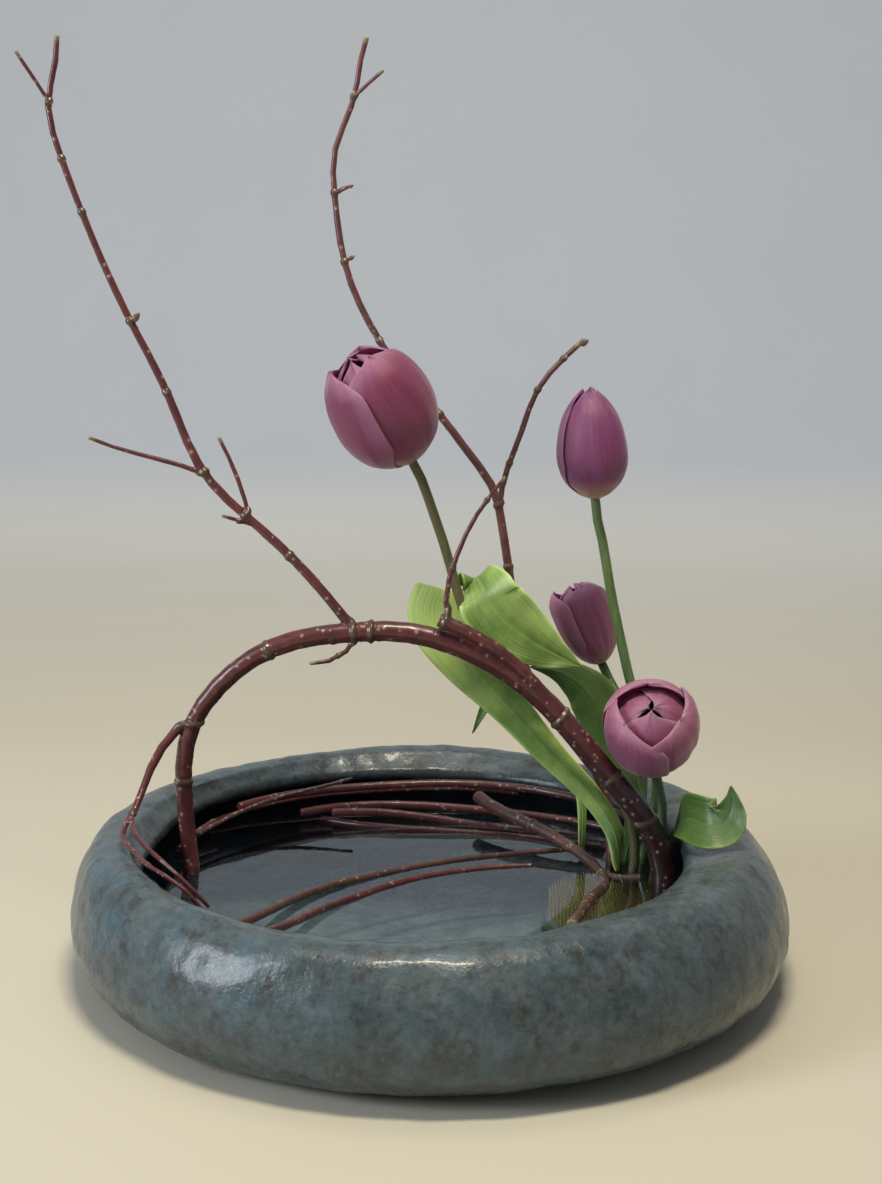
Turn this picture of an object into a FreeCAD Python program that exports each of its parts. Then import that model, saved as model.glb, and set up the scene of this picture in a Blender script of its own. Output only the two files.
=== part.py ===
"""Low-bowl flower arrangement held by a pin-type flower frog.

Millimetres.  Origin at the centre of the bowl's underside, X right, Y to the back, Z up.
A round weighted frog with upright needles stands on the floor of a low glazed bowl.  A bent branch,
a back branch and four tulips are pushed down onto the needles; loose bent twigs lie round the bowl.
"""
import math
import os

import FreeCAD
import Part
import Sketcher
from FreeCAD import Placement, Rotation, Vector

os.makedirs("parts", exist_ok=True)
doc = FreeCAD.newDocument("flower_frog_arrangement")

# ---------------------------------------------------------------------------------------------
# Driving dimensions
# ---------------------------------------------------------------------------------------------

DIMENSIONS = {
    # bowl
    "bowl_radius": (200.0, "widest radius of the bowl"),
    "bowl_widest_height": (29.0, "height of the widest ring"),
    "bowl_foot_radius": (173.0, "radius of the flat underside"),
    "rim_height": (75.0, "height of the rim crest"),
    "rim_crest_radius": (172.5, "radius of the rim crest ring"),
    "lip_drop": (12.0, "fall of the rim's inner slope below the crest"),
    "opening_radius": (153.0, "radius of the opening at the lip"),
    "opening_offset": (-8.0, "the hand-built opening sits off centre, to the left"),
    "lip_margin": (8.0, "clay that the basin cut removes inside the inner slope"),
    "neck_height": (8.0, "upright wall under the lip"),
    "floor_thickness": (12.0, "thickness of the bowl floor"),
    "basin_radius": (176.0, "radius of the basin under the rolled rim"),
    "basin_widest_height": (34.0, "height of the basin's widest ring"),
    "lip_fillet": (3.0, "rounding of the lip"),
    # flower frog
    "frog_x": (104.0, "frog centre, X"),
    "frog_y": (8.0, "frog centre, Y"),
    "base_radius": (35.5, "radius of the weighted base"),
    "base_height": (8.0, "thickness of the weighted base"),
    "gasket_radius": (37.0, "outer radius of the rubber ring"),
    "gasket_height": (5.0, "height of the rubber ring"),
    "gasket_sole": (1.2, "rubber under the base"),
    "gasket_ledge": (4.0, "width of the rubber under the base"),
    "base_chamfer": (1.0, "chamfer round the top of the base"),
    "needle_radius": (0.55, "needle shank radius"),
    "needle_height": (15.5, "needle height above the base"),
    "needle_point": (2.5, "length of the sharpened point"),
    "needle_depth": (3.0, "needle length pressed into the base"),
    "needle_pitch": (3.6, "needle spacing"),
    "needle_field": (33.0, "radius of the needle field"),
    "needle_clearance": (0.12, "gap between a needle and the hole it makes"),
    "impale_gap": (3.0, "gap left between a stem's foot and the base"),
    "arch_reach": (12.0, "needles within this distance pierce the bent branch"),
    "back_reach": (10.0, "needles within this distance pierce the back branch"),
    "tulip_reach": (11.0, "needles within this distance pierce a tulip stem"),
    # branches, radii
    "arch_foot": (7.2, "bent branch at its foot"),
    "arch_top": (5.9, "bent branch at the top of the arch"),
    "arch_end": (4.5, "bent branch at its far end"),
    "side_shoot_thick": (4.0, "side shoot lying on the bent branch"),
    "shoot_base": (2.9, "tall shoot at its base"),
    "shoot_tip": (1.8, "tall shoot at its tips"),
    "twig_thick": (2.6, "loose twig at its thick end"),
    "twig_thin": (1.5, "thin twig"),
    "twig_fine": (1.1, "finest tips"),
    "limb_step": (13.0, "length of one straight stretch of a modelled limb"),
    "back_base": (3.4, "back branch at its foot"),
    "back_fork": (2.4, "back branch at its fork"),
    "fork_thick": (4.0, "forked piece at its thick end"),
    "fork_thin": (2.9, "forked piece at its thin ends"),
    # tulips
    "stem_radius": (3.1, "tulip stem"),
    "stem_top": (2.8, "tulip stem under the bloom"),
    "bloom_seat": (0.9, "gap between the stem's end and the petals, for a stem cut askew"),
    "bloom_neck": (8.0, "straight neck of the stem under the bloom"),
    "bloom_1_height": (72.0, "large bloom, height"),
    "bloom_1_radius": (29.0, "large bloom, radius"),
    "bloom_2_height": (64.0, "closed bloom, height"),
    "bloom_2_radius": (20.0, "closed bloom, radius"),
    "bloom_3_height": (51.0, "small bloom, height"),
    "bloom_3_radius": (17.5, "small bloom, radius"),
    "bloom_4_height": (46.0, "low bloom, height"),
    "bloom_4_radius": (25.0, "low bloom, radius"),
    "petal_thickness": (0.9, "petal thickness"),
    "petal_gap": (0.6, "gap between the outer and the inner petals"),
    "petal_sweep": (116.0, "angle one petal covers, degrees"),
    "receptacle_radius": (2.2, "open centre at the foot of the petals"),
    "pistil_radius": (1.9, "seed capsule radius"),
    "stamen_radius": (0.5, "filament radius"),
    # leaves
    "leaf_thickness": (1.3, "leaf blade thickness"),
    "leaf_1_width": (40.0, "widest part of the large folded leaf"),
    "leaf_2_width": (28.0, "widest part of the back leaf"),
    "leaf_3_width": (9.0, "widest part of the narrow leaf"),
    "leaf_4_width": (28.0, "widest part of the leaf over the rim"),
}

sheet = doc.addObject("Spreadsheet::Sheet", "Dimensions")
for row, (alias, (value, note)) in enumerate(DIMENSIONS.items(), start=1):
    sheet.set("A%d" % row, note)
    sheet.set("B%d" % row, str(value))
    sheet.setAlias("B%d" % row, alias)
doc.recompute()


def dim(alias):
    """The value of one cell of the sheet."""
    return float(getattr(sheet, alias))


def bind(obj, prop, formula):
    """Ties a property to the sheet: every {alias} in the formula becomes a cell."""
    words = formula.replace("{", "Dimensions.").replace("}", "")
    obj.setExpression(prop, words)


def between(first, second, share):
    """The value a given share of the way from the first to the second."""
    return first * (1 - share) + second * share


NODES = []


def node(obj, label):
    """Marks an object as a finished sub-part; the label names its file."""
    obj.Label = label
    NODES.append(obj)
    return obj


# ---------------------------------------------------------------------------------------------
# Sketch helpers
# ---------------------------------------------------------------------------------------------

def new_body(name):
    return doc.addObject("PartDesign::Body", name)


def new_sketch(body, name, plane="XZ_Plane"):
    sketch = body.newObject("Sketcher::SketchObject", name)
    support = next(f for f in body.Origin.OriginFeatures if f.Role == plane)
    sketch.AttachmentSupport = [(support, "")]
    sketch.MapMode = "FlatFace"
    return sketch


def join_ends(sketch, count):
    """Makes the end of each edge meet the start of the next one, all the way round."""
    for index in range(count):
        following = (index + 1) % count
        sketch.addConstraint(Sketcher.Constraint("Coincident", index, 2, following, 1))


def revolve(body, sketch, kind, name):
    feature = body.newObject(kind, name)
    feature.Profile = sketch
    feature.ReferenceAxis = (sketch, ["V_Axis"])
    feature.Angle = 360.0
    return feature


def ring_profile(sketch, corners, names):
    """A closed outline of straight edges; each corner is tied to the sheet in X and Y."""
    points = [Vector(x, y, 0) for x, y in corners]
    for index, point in enumerate(points):
        sketch.addGeometry(Part.LineSegment(point, points[(index + 1) % len(points)]))
    join_ends(sketch, len(points))
    for index, (across, up) in enumerate(names):
        for axis, formula, value in (("X", across, points[index].x), ("Y", up, points[index].y)):
            if formula is None:
                origin = Sketcher.Constraint("Distance" + axis, -1, 1, index, 1, value)
                sketch.addConstraint(origin)
                continue
            number = sketch.addConstraint(Sketcher.Constraint("Distance" + axis, -1, 1, index, 1, value))
            bind(sketch, "Constraints[%d]" % number, formula)


# ---------------------------------------------------------------------------------------------
# Bowl
# ---------------------------------------------------------------------------------------------

def quarter_ellipse(centre, across, up, first, last):
    """Arc of an ellipse with half widths across and up, between two angles in quarter turns."""
    if up > across:
        ellipse = Part.Ellipse(centre + Vector(0, up, 0), centre + Vector(-across, 0, 0), centre)
        shift = -1
    else:
        ellipse = Part.Ellipse(centre + Vector(across, 0, 0), centre + Vector(0, up, 0), centre)
        shift = 0
    quarter = math.pi / 2
    return Part.ArcOfEllipse(ellipse, (first + shift) * quarter, (last + shift) * quarter)


def make_bowl():
    """A thick disc with a rolled rim, hollowed by a basin that is wider than its opening."""
    body = new_body("Bowl")
    widest = dim("bowl_radius")
    widest_height = dim("bowl_widest_height")
    crest = dim("rim_crest_radius")
    height = dim("rim_height")
    foot = dim("bowl_foot_radius")
    slope_foot = height - dim("lip_drop")
    opening = dim("opening_radius")
    inner_crest = opening - abs(dim("opening_offset")) - dim("lip_margin")

    outline = new_sketch(body, "BowlOutline")
    outline.addGeometry([
        Part.LineSegment(Vector(0, 0, 0), Vector(foot, 0, 0)),
        quarter_ellipse(Vector(foot, widest_height, 0), widest - foot, widest_height, 3, 4),
        quarter_ellipse(Vector(crest, widest_height, 0), widest - crest, height - widest_height, 0, 1),
        quarter_ellipse(Vector(crest, slope_foot, 0), crest - inner_crest, height - slope_foot, 1, 2),
        Part.LineSegment(Vector(inner_crest, slope_foot, 0), Vector(0, slope_foot, 0)),
        Part.LineSegment(Vector(0, slope_foot, 0), Vector(0, 0, 0)),
    ])
    revolve(body, outline, "PartDesign::Revolution", "BowlSolid")
    doc.recompute()

    basin = dim("basin_radius")
    bulge = dim("basin_widest_height")
    floor = dim("floor_thickness")
    corner = bulge - floor
    neck = slope_foot - dim("neck_height") / 2
    shoulder = (bulge + neck) / 2
    above = height + corner
    diagonal = math.sqrt(0.5)
    hollow = new_sketch(body, "BasinOutline")
    bind(hollow, "AttachmentOffset.Base.x", "{opening_offset}")
    hollow.addGeometry([
        Part.LineSegment(Vector(0, floor, 0), Vector(basin - corner, floor, 0)),
        Part.Arc(Vector(basin - corner, floor, 0),
                 Vector(basin - corner + corner * diagonal, bulge - corner * diagonal, 0),
                 Vector(basin, bulge, 0)),
        Part.Arc(Vector(basin, bulge, 0), Vector(between(opening, basin, 0.75), shoulder, 0),
                 Vector(opening, neck, 0)),
        Part.LineSegment(Vector(opening, neck, 0), Vector(opening, above, 0)),
        Part.LineSegment(Vector(opening, above, 0), Vector(0, above, 0)),
        Part.LineSegment(Vector(0, above, 0), Vector(0, floor, 0)),
    ])
    groove = revolve(body, hollow, "PartDesign::Groove", "Basin")
    doc.recompute()
    lip_edges = [
        "Edge%d" % (number + 1)
        for number, edge in enumerate(groove.Shape.Edges)
        if edge.BoundBox.ZMin > neck + 1 and abs(edge.BoundBox.YMax - opening) < 1
    ]
    rounding = body.newObject("PartDesign::Fillet", "LipRounding")
    rounding.Base = (groove, lip_edges)
    bind(rounding, "Radius", "{lip_fillet}")
    doc.recompute()
    body.Tip = rounding
    return node(body, "bowl")


# ---------------------------------------------------------------------------------------------
# Flower frog: weighted base, rubber ring and needles
# ---------------------------------------------------------------------------------------------

def frog_placement(obj):
    obj.Placement = Placement(Vector(dim("frog_x"), dim("frog_y"), dim("floor_thickness")), Rotation())
    bind(obj, "Placement.Base.x", "{frog_x}")
    bind(obj, "Placement.Base.y", "{frog_y}")
    bind(obj, "Placement.Base.z", "{floor_thickness}")


def make_frog_base():
    body = new_body("FrogBase")
    frog_placement(body)
    sketch = new_sketch(body, "BasePlan", "XY_Plane")
    sketch.AttachmentOffset = Placement(Vector(0, 0, dim("gasket_sole")), Rotation())
    bind(sketch, "AttachmentOffset.Base.z", "{gasket_sole}")
    sketch.addGeometry(Part.Circle(Vector(0, 0, 0), Vector(0, 0, 1), dim("base_radius")))
    sketch.addConstraint(Sketcher.Constraint("Coincident", 0, 3, -1, 1))
    number = sketch.addConstraint(Sketcher.Constraint("Radius", 0, dim("base_radius")))
    bind(sketch, "Constraints[%d]" % number, "{base_radius}")
    pad = body.newObject("PartDesign::Pad", "BaseDisc")
    pad.Profile = sketch
    bind(pad, "Length", "{base_height}")
    doc.recompute()
    top = dim("gasket_sole") + dim("base_height")
    rim = [
        "Edge%d" % (number + 1)
        for number, edge in enumerate(pad.Shape.Edges)
        if abs(edge.BoundBox.ZMin - top) < 0.01
        and edge.BoundBox.ZLength < 0.01
    ]
    chamfer = body.newObject("PartDesign::Chamfer", "TopEdge")
    chamfer.Base = (pad, rim)
    bind(chamfer, "Size", "{base_chamfer}")
    body.Tip = chamfer
    return node(body, "frog_base")


def make_frog_gasket():
    """Rubber ring of L section: a wall round the base and a ledge under its edge."""
    body = new_body("FrogGasket")
    frog_placement(body)
    sketch = new_sketch(body, "GasketSection")
    outside = dim("gasket_radius")
    wall = dim("base_radius") + 0.05
    ledge = dim("base_radius") - dim("gasket_ledge")
    sole = dim("gasket_sole") - 0.05
    tall = dim("gasket_height")
    corners = [(ledge, 0.02), (outside, 0.02), (outside, tall), (wall, tall), (wall, sole), (ledge, sole)]
    names = [
        ("{base_radius} - {gasket_ledge}", None),
        ("{gasket_radius}", None),
        ("{gasket_radius}", "{gasket_height}"),
        ("{base_radius} + 0.05", "{gasket_height}"),
        ("{base_radius} + 0.05", "{gasket_sole} - 0.05"),
        ("{base_radius} - {gasket_ledge}", "{gasket_sole} - 0.05"),
    ]
    ring_profile(sketch, corners, names)
    ring = revolve(body, sketch, "PartDesign::Revolution", "GasketRing")
    body.Tip = ring
    return node(body, "frog_gasket")


def needle_spots():
    """Centres of the needles: a triangular grid clipped to the round field, from the frog's centre."""
    pitch = dim("needle_pitch")
    field = dim("needle_field")
    row_gap = pitch * math.sqrt(3) / 2
    rows = int(field / row_gap) + 1
    spots = []
    for row in range(-rows, rows + 1):
        shift = pitch / 2 if row % 2 else 0.0
        for column in range(-rows - 2, rows + 3):
            spot = Vector(column * pitch + shift, row * row_gap, 0)
            if spot.Length <= field:
                spots.append(spot)
    return spots


def base_top():
    """Height of the base's upper face above the frog's own origin."""
    return dim("gasket_sole") + dim("base_height")


def make_frog_needles():
    """One solid per needle.  A grid clipped to a circle is no pattern feature, so it is built here."""
    radius = dim("needle_radius")
    point = dim("needle_point")
    depth = dim("needle_depth")
    shank = dim("needle_height") - point + depth
    needles = []
    for spot in needle_spots():
        foot = spot + Vector(0, 0, base_top() - depth)
        body = Part.makeCylinder(radius, shank, foot)
        tip = Part.makeCone(radius, radius * 0.15, point, foot + Vector(0, 0, shank))
        needles.append(body.fuse(tip).removeSplitter())
    feature = doc.addObject("Part::Feature", "FrogNeedles")
    feature.Shape = Part.makeCompound(needles)
    frog_placement(feature)
    return node(feature, "frog_needles")


def needle_holes(foot, reach):
    """The holes that the needles near a foot make in it, in the row frame."""
    origin = Vector(dim("frog_x"), dim("frog_y"), dim("floor_thickness"))
    radius = dim("needle_radius") + dim("needle_clearance")
    length = dim("needle_height") + dim("needle_clearance") + 1.0
    flat_foot = Vector(foot.x, foot.y, 0)
    holes = []
    for spot in needle_spots():
        place = origin + spot + Vector(0, 0, base_top() - 1.0)
        if (Vector(place.x, place.y, 0) - flat_foot).Length < reach:
            holes.append(Part.makeCylinder(radius, length, place))
    return Part.makeCompound(holes)


# ---------------------------------------------------------------------------------------------
# Limbs: tapered round tubes along smooth paths
# ---------------------------------------------------------------------------------------------

def smooth_path(points):
    curve = Part.BSplineCurve()
    curve.interpolate([Vector(*point) for point in points])
    return curve


def facing(direction):
    return Rotation(Vector(0, 0, 1), direction)


def limb(name, points, *radii):
    """A tapered limb: round sections strung along a smooth path and joined by short straight lengths.
    The radii are sheet aliases, evenly spaced along the limb."""
    curve = smooth_path(points)
    count = max(3, round(curve.length() / dim("limb_step")) + 1)
    span = curve.LastParameter - curve.FirstParameter
    previous = curve.tangent(curve.FirstParameter)[0]
    turn = facing(previous)
    sections = []
    for index in range(count):
        share = index / (count - 1)
        parameter = curve.FirstParameter + share * span
        along = curve.tangent(parameter)[0]
        turn = Rotation(previous, along).multiply(turn)
        previous = along
        stretch = share * (len(radii) - 1)
        lower = min(int(stretch), len(radii) - 2)
        mix = stretch - lower
        circle = doc.addObject("Part::Circle", "%sSection%d" % (name, index + 1))
        bind(circle, "Radius", "{%s} * %.4f + {%s} * %.4f" % (radii[lower], 1 - mix, radii[lower + 1], mix))
        circle.Placement = Placement(curve.value(parameter), turn)
        sections.append(circle)
    loft = doc.addObject("Part::Loft", name)
    loft.Sections = sections
    loft.Solid = True
    loft.Ruled = True
    return loft


def grow_together(name, limbs):
    """Limbs of one natural branch, joined into one solid."""
    if len(limbs) == 1:
        return limbs[0]
    union = doc.addObject("Part::MultiFuse", name)
    union.Shapes = limbs
    return union


def pushed_on_needles(name, solid, foot, reach):
    """The solid with the holes that the frog's needles make in its foot."""
    holes = doc.addObject("Part::Feature", name + "NeedleHoles")
    holes.Shape = needle_holes(Vector(*foot), reach)
    cut = doc.addObject("Part::Cut", name)
    cut.Base = solid
    cut.Tool = holes
    return cut


def foot_height():
    return dim("floor_thickness") + base_top() + dim("impale_gap")


def make_arch_branch():
    """The heavy bent branch with its tall shoot, its side shoot and its trailing twigs."""
    foot = (134, 2, foot_height())
    arch = limb("Arch", [foot, (135, 2, 50), (129, 3, 72), (104, 5, 104), (75, 8, 138), (46, 11, 163),
                         (12, 14, 179), (-16, 15, 185), (-44, 16, 184), (-75, 17, 179), (-101, 18, 167),
                         (-121, 18, 149), (-134, 18, 129), (-139, 18, 108), (-139, 18, 84), (-137, 18, 60),
                         (-135, 18, 40)], "arch_foot", "arch_top", "arch_end")
    tall = limb("TallShoot", [(-41, 16, 184), (-61, 17, 209), (-81, 18, 230), (-100, 19, 247),
                              (-125, 20, 272), (-144, 22, 313), (-166, 24, 357), (-191, 26, 414),
                              (-203, 27, 447), (-208, 28, 472), (-205, 29, 488), (-203, 31, 507)],
                "shoot_base", "twig_thin")
    tall_left = limb("TallTipLeft", [(-207.5, 28, 472), (-215, 26, 484), (-224, 24, 498)], "twig_fine",
                     "twig_fine")
    tall_side = limb("TallSideTwig", [(-125, 20, 272), (-144, 16, 279), (-165, 11, 285), (-186, 5, 293)],
                     "twig_thin", "twig_fine")
    tall_rise = limb("TallRiseTwig", [(-100, 19, 247), (-107, 23, 269), (-118, 27, 292)], "twig_thin",
                     "twig_fine")
    stub = limb("TallStub", [(-97, 19, 244), (-106, 15, 247), (-115, 12, 250)], "twig_thin", "twig_fine")
    under = limb("UnderTwig", [(-40, 16, 183), (-47, 12, 173), (-55, 10, 169), (-66, 6, 168)], "twig_thin",
                 "twig_fine")
    side = limb("SideShoot", [(75, 8, 138), (60, 7, 157), (42, 8, 174), (24, 9, 185), (6, 10, 193)],
                "side_shoot_thick", "side_shoot_thick")
    side_twig = limb("SideTwig", [(12, 10, 190), (10, 11, 206), (16, 12, 230), (23, 13, 246), (32, 14, 260),
                                  (42, 15, 273)], "shoot_tip", "twig_fine")
    trailing = limb("TrailingTwig", [(-132, 18, 133), (-145, 14, 124), (-156, 4, 106), (-163, -14, 86),
                                     (-166, -28, 81), (-157, -52, 79), (-143, -78, 78.5), (-131, -91, 77),
                                     (-122, -93, 71), (-114, -92, 61)],
                    "shoot_base", "twig_thin", "twig_fine")
    trail_b = limb("TrailingTip", [(-163, -14, 86), (-160, -30, 83), (-150, -50, 80), (-136, -70, 77),
                                   (-121, -77, 66), (-112, -77, 56)], "twig_thin", "twig_fine")
    whole = grow_together("ArchWhole", [arch, tall, tall_left, tall_side, tall_rise, stub, under, side,
                                        side_twig, trailing, trail_b])
    return node(pushed_on_needles("ArchBranch", whole, foot, dim("arch_reach")), "arch_branch")


def make_back_branch():
    """The thinner branch at the back, forked above the leaves."""
    foot = (108, 33, foot_height())
    main = limb("BackMain", [foot, (109, 36, 50), (101, 53, 94), (79, 62, 122), (62, 66, 144), (54, 68, 164),
                             (48, 70, 206), (43, 71, 236), (38, 72, 258), (23, 75, 280), (4, 79, 304),
                             (-18, 83, 328), (-36, 85, 354), (-51, 87, 389), (-57, 89, 426), (-57, 90, 454),
                             (-46, 91, 484), (-43, 91, 501), (-39, 92, 517)],
                "back_base", "back_fork", "twig_thin")
    right = limb("BackRight", [(41, 71.5, 248), (44, 67, 269), (52, 60, 293), (61, 54, 319), (73, 48, 335),
                               (84, 42, 346)], "shoot_tip", "twig_thin")
    tip = limb("BackTip", [(-46, 91, 484), (-38, 88, 491), (-29, 84, 498)], "twig_fine", "twig_fine")
    spur = limb("BackSpur", [(-57, 89, 430), (-53, 87, 432), (-49, 85, 433)], "twig_fine", "twig_fine")
    whole = grow_together("BackWhole", [main, right, tip, spur])
    return node(pushed_on_needles("BackBranch", whole, foot, dim("back_reach")), "back_branch")


def make_forked_branch():
    """The short thick forked piece that lies over the frog's needles."""
    main = limb("ForkMain", [(32, 108, 61), (47, 84, 58.5), (64, 66, 56), (81, 46, 52.5), (95, 28, 47.5),
                             (103, 10, 42.5), (98, -12, 43.5), (90, -40, 49), (79, -87, 56), (75, -100, 57)],
                "fork_thick", "fork_thin", "fork_thin")
    collar = limb("ForkCollar", [(100, 15, 43.5), (112, 9, 43), (123, 6, 45)], "twig_thick", "twig_thick")
    return node(grow_together("ForkedBranch", [main, collar]), "forked_branch")


LOOSE_TWIGS = {
    # radii at the two ends and the path of the middle
    "ring_twig_1": ("twig_thick", "twig_thick",
                    [(-116, 85, 60), (-76, 118, 60), (-31, 132, 60.5), (20, 137, 61), (72, 121, 61.5),
                     (110, 88, 61), (132, 58, 56)]),
    "ring_twig_2": ("twig_thick", "twig_thick",
                    [(-80, 106, 50), (-31, 122, 51), (15, 121, 50), (60, 109, 49.5), (103, 91, 49),
                     (134, 68, 47)]),
    "ring_twig_3": ("twig_thick", "twig_thick",
                    [(-60, 104, 51), (-5, 109, 47.5), (35, 102, 44), (80, 92, 43), (116, 78, 42),
                     (140, 61, 41)]),
    "ring_twig_4": ("twig_thick", "twig_thick",
                    [(-68, 118, 42), (-17, 97, 43), (33, 88, 43), (82, 76, 42.5), (112, 66, 42),
                     (128, 54, 41.5)]),
    "ring_twig_5": ("twig_thin", "twig_fine",
                    [(-136, 42, 56), (-117, 77, 58), (-97, 98, 61), (-70, 111, 65), (-48, 119, 69)]),
    "ring_twig_6": ("twig_thin", "twig_thin",
                    [(-136, 90, 48), (-102, 120, 51), (-66, 138, 52.5), (-31, 147, 53), (14, 153, 53),
                     (60, 146, 52)]),
    "ring_twig_7": ("twig_thick", "twig_thin",
                    [(-146, 40, 47), (-140, 56, 51), (-130, 76, 54)]),
    "front_twig_1": ("twig_thick", "twig_thin",
                    [(-104, -108, 55), (-90, -84, 52), (-73, -45, 48), (-48, -11, 46), (-15, 15, 45),
                     (14, 32, 45), (44, 43, 45), (74, 52, 45), (88, 55, 45)]),
    "front_twig_2": ("twig_thick", "twig_thin",
                    [(-88, -120, 56), (-74, -95, 52), (-56, -56, 47), (-31, -22, 45), (-3, 3, 45),
                     (31, 19, 45), (62, 25, 45)]),
}


def make_loose_twigs():
    """Bent twigs that lie round the bowl, each a separate piece."""
    for label, (start, end, points) in LOOSE_TWIGS.items():
        name = label.title().replace("_", "")
        node(limb(name, points, start, end), label)


# ---------------------------------------------------------------------------------------------
# Tulips
# ---------------------------------------------------------------------------------------------

def bloom_placement(base, axis):
    return Placement(Vector(*base), facing(Vector(*axis)))


def petal_whorl(name, label, place, number, inset, lift, opening, turn):
    """Three petals: sectors of an egg-shaped shell, open at the top and clear of the stem."""
    height = "({bloom_%d_height} - %.2f)" % (number, 2 * lift)
    radius = "({bloom_%d_radius} - %.2f)" % (number, inset)
    void = doc.addObject("Part::Ellipsoid", name + "Inside")
    bind(void, "Radius1", height + " / 2 - {petal_thickness}")
    bind(void, "Radius2", radius + " - {petal_thickness}")
    bind(void, "Radius3", radius + " - {petal_thickness}")
    bore = doc.addObject("Part::Cylinder", name + "Bore")
    bind(bore, "Radius", "{receptacle_radius} + %.2f" % (inset / 3))
    bore.Height = 200
    bore.Placement.Base = Vector(0, 0, -100)
    inside = doc.addObject("Part::MultiFuse", name + "Hollow")
    inside.Shapes = [void, bore]
    petals = []
    for index in range(3):
        shell = doc.addObject("Part::Ellipsoid", "%sShell%d" % (name, index + 1))
        bind(shell, "Radius1", height + " / 2")
        bind(shell, "Radius2", radius)
        bind(shell, "Radius3", radius)
        shell.Angle2 = opening
        bind(shell, "Angle3", "{petal_sweep}")
        shell.Placement.Rotation = Rotation(Vector(0, 0, 1), turn + 120 * index)
        petal = doc.addObject("Part::Cut", "%sPetal%d" % (name, index + 1))
        petal.Base = shell
        petal.Tool = inside
        petals.append(petal)
    whorl = doc.addObject("Part::Compound", name)
    whorl.Links = petals
    rise = dim("bloom_%d_height" % number) / 2 + 0.2
    whorl.Placement = place.multiply(Placement(Vector(0, 0, rise), Rotation()))
    return node(whorl, label)


def make_pistil(name, label, place):
    """Seed capsule with a broad three-part stigma, simplified to a round cap."""
    body = new_body(name)
    body.Placement = place
    sketch = new_sketch(body, name + "Section")
    radius = dim("pistil_radius")
    corners = [(0, 0.1), (radius * 0.7, 0.1), (radius, 6), (radius * 0.8, 13), (radius * 1.6, 15),
               (radius * 1.2, 17.5), (0, 18)]
    names = [
        (None, None),
        ("{pistil_radius} * 0.7", None),
        ("{pistil_radius}", None),
        ("{pistil_radius} * 0.8", None),
        ("{pistil_radius} * 1.6", None),
        ("{pistil_radius} * 1.2", None),
        (None, None),
    ]
    ring_profile(sketch, corners, names)
    body.Tip = revolve(body, sketch, "PartDesign::Revolution", name + "Turned")
    return node(body, label)


def make_stamens(name, label, place):
    """Six stamens round the capsule, each a filament with its pollen-bearing head."""
    stamens = []
    for index in range(6):
        turn = Rotation(Vector(0, 0, 1), 60 * index)
        lean = turn.multiply(Rotation(Vector(0, 1, 0), 7))
        start = turn.multVec(Vector(2.8, 0, 3.2))
        filament = doc.addObject("Part::Cylinder", "%sFilament%d" % (name, index + 1))
        bind(filament, "Radius", "{stamen_radius}")
        filament.Height = 8
        filament.Placement = Placement(start, lean)
        head = doc.addObject("Part::Ellipsoid", "%sHead%d" % (name, index + 1))
        head.Radius1 = 3.2
        head.Radius2 = 0.95
        head.Radius3 = 0.95
        head.Placement = Placement(start + lean.multVec(Vector(0, 0, 10)), lean)
        stamen = doc.addObject("Part::Fuse", "%sStamen%d" % (name, index + 1))
        stamen.Base = filament
        stamen.Tool = head
        stamens.append(stamen)
    group = doc.addObject("Part::Compound", name)
    group.Links = stamens
    group.Placement = place
    return node(group, label)


TULIPS = {
    # stem path between its foot and the bloom, base and axis of the bloom, edge of the outer and the
    # inner petals in degrees above the bloom's middle, turn of the petals about the axis
    1: {"foot": (113, 20), "path": [(121, 21, 56), (115, 24, 82), (93, 29, 110), (66, 35, 139), (38, 43, 165),
                                    (21, 47, 190), (11, 47, 222), (1, 45, 252)],
        "base": (-11, 40, 280), "axis": (-0.46, -0.33, 0.82), "outer": 64, "inner": 56, "turn": 20},
    2: {"foot": (121, 27), "path": [(129, 34, 56), (135, 41, 82), (135, 46, 98), (129, 50, 118),
                                    (120, 53, 145), (113, 55, 173), (105, 57, 209), (100, 58, 235)],
        "base": (96, 59, 257), "axis": (-0.08, 0.0, 1.0), "outer": 80, "inner": 76, "turn": 35},
    3: {"foot": (98, 37), "path": [(115, 46, 54), (128, 56, 74), (129, 66, 93), (122, 77, 117),
                                   (114, 88, 136)],
        "base": (106, 97, 151), "axis": (-0.38, 0.10, 0.92), "outer": 66, "inner": 60, "turn": 10},
    4: {"foot": (128, 16), "path": [(134, 20, 50), (136, 23, 68), (136, 27, 86)],
        "base": (128, 22, 117), "axis": (-0.10, -0.72, 0.69), "outer": 50, "inner": 42, "turn": 70},
}


def make_tulip(number):
    """Stem, three outer petals, three inner petals, seed capsule and six stamens."""
    tulip = TULIPS[number]
    foot = (tulip["foot"][0], tulip["foot"][1], foot_height())
    axis = Vector(*tulip["axis"]).normalize()
    base = Vector(*tulip["base"])
    below = base - axis * dim("bloom_neck")
    top = base - axis * dim("bloom_seat")
    points = [foot] + tulip["path"] + [tuple(below), tuple(top)]
    stem = limb("Tulip%dStemWhole" % number, points, "stem_radius", "stem_top")
    cut = pushed_on_needles("Tulip%dStem" % number, stem, foot, dim("tulip_reach"))
    node(cut, "tulip_%d_stem" % number)
    place = bloom_placement(base, axis)
    wall = dim("petal_thickness") + dim("petal_gap")
    petal_whorl("Tulip%dOuter" % number, "tulip_%d_outer_petals" % number, place, number, 0.0, 0.0,
                tulip["outer"], tulip["turn"])
    petal_whorl("Tulip%dInner" % number, "tulip_%d_inner_petals" % number, place, number, wall, wall,
                tulip["inner"], tulip["turn"] + 60)
    make_pistil("Tulip%dPistil" % number, "tulip_%d_pistil" % number, place)
    make_stamens("Tulip%dStamens" % number, "tulip_%d_stamens" % number, place)


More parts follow.
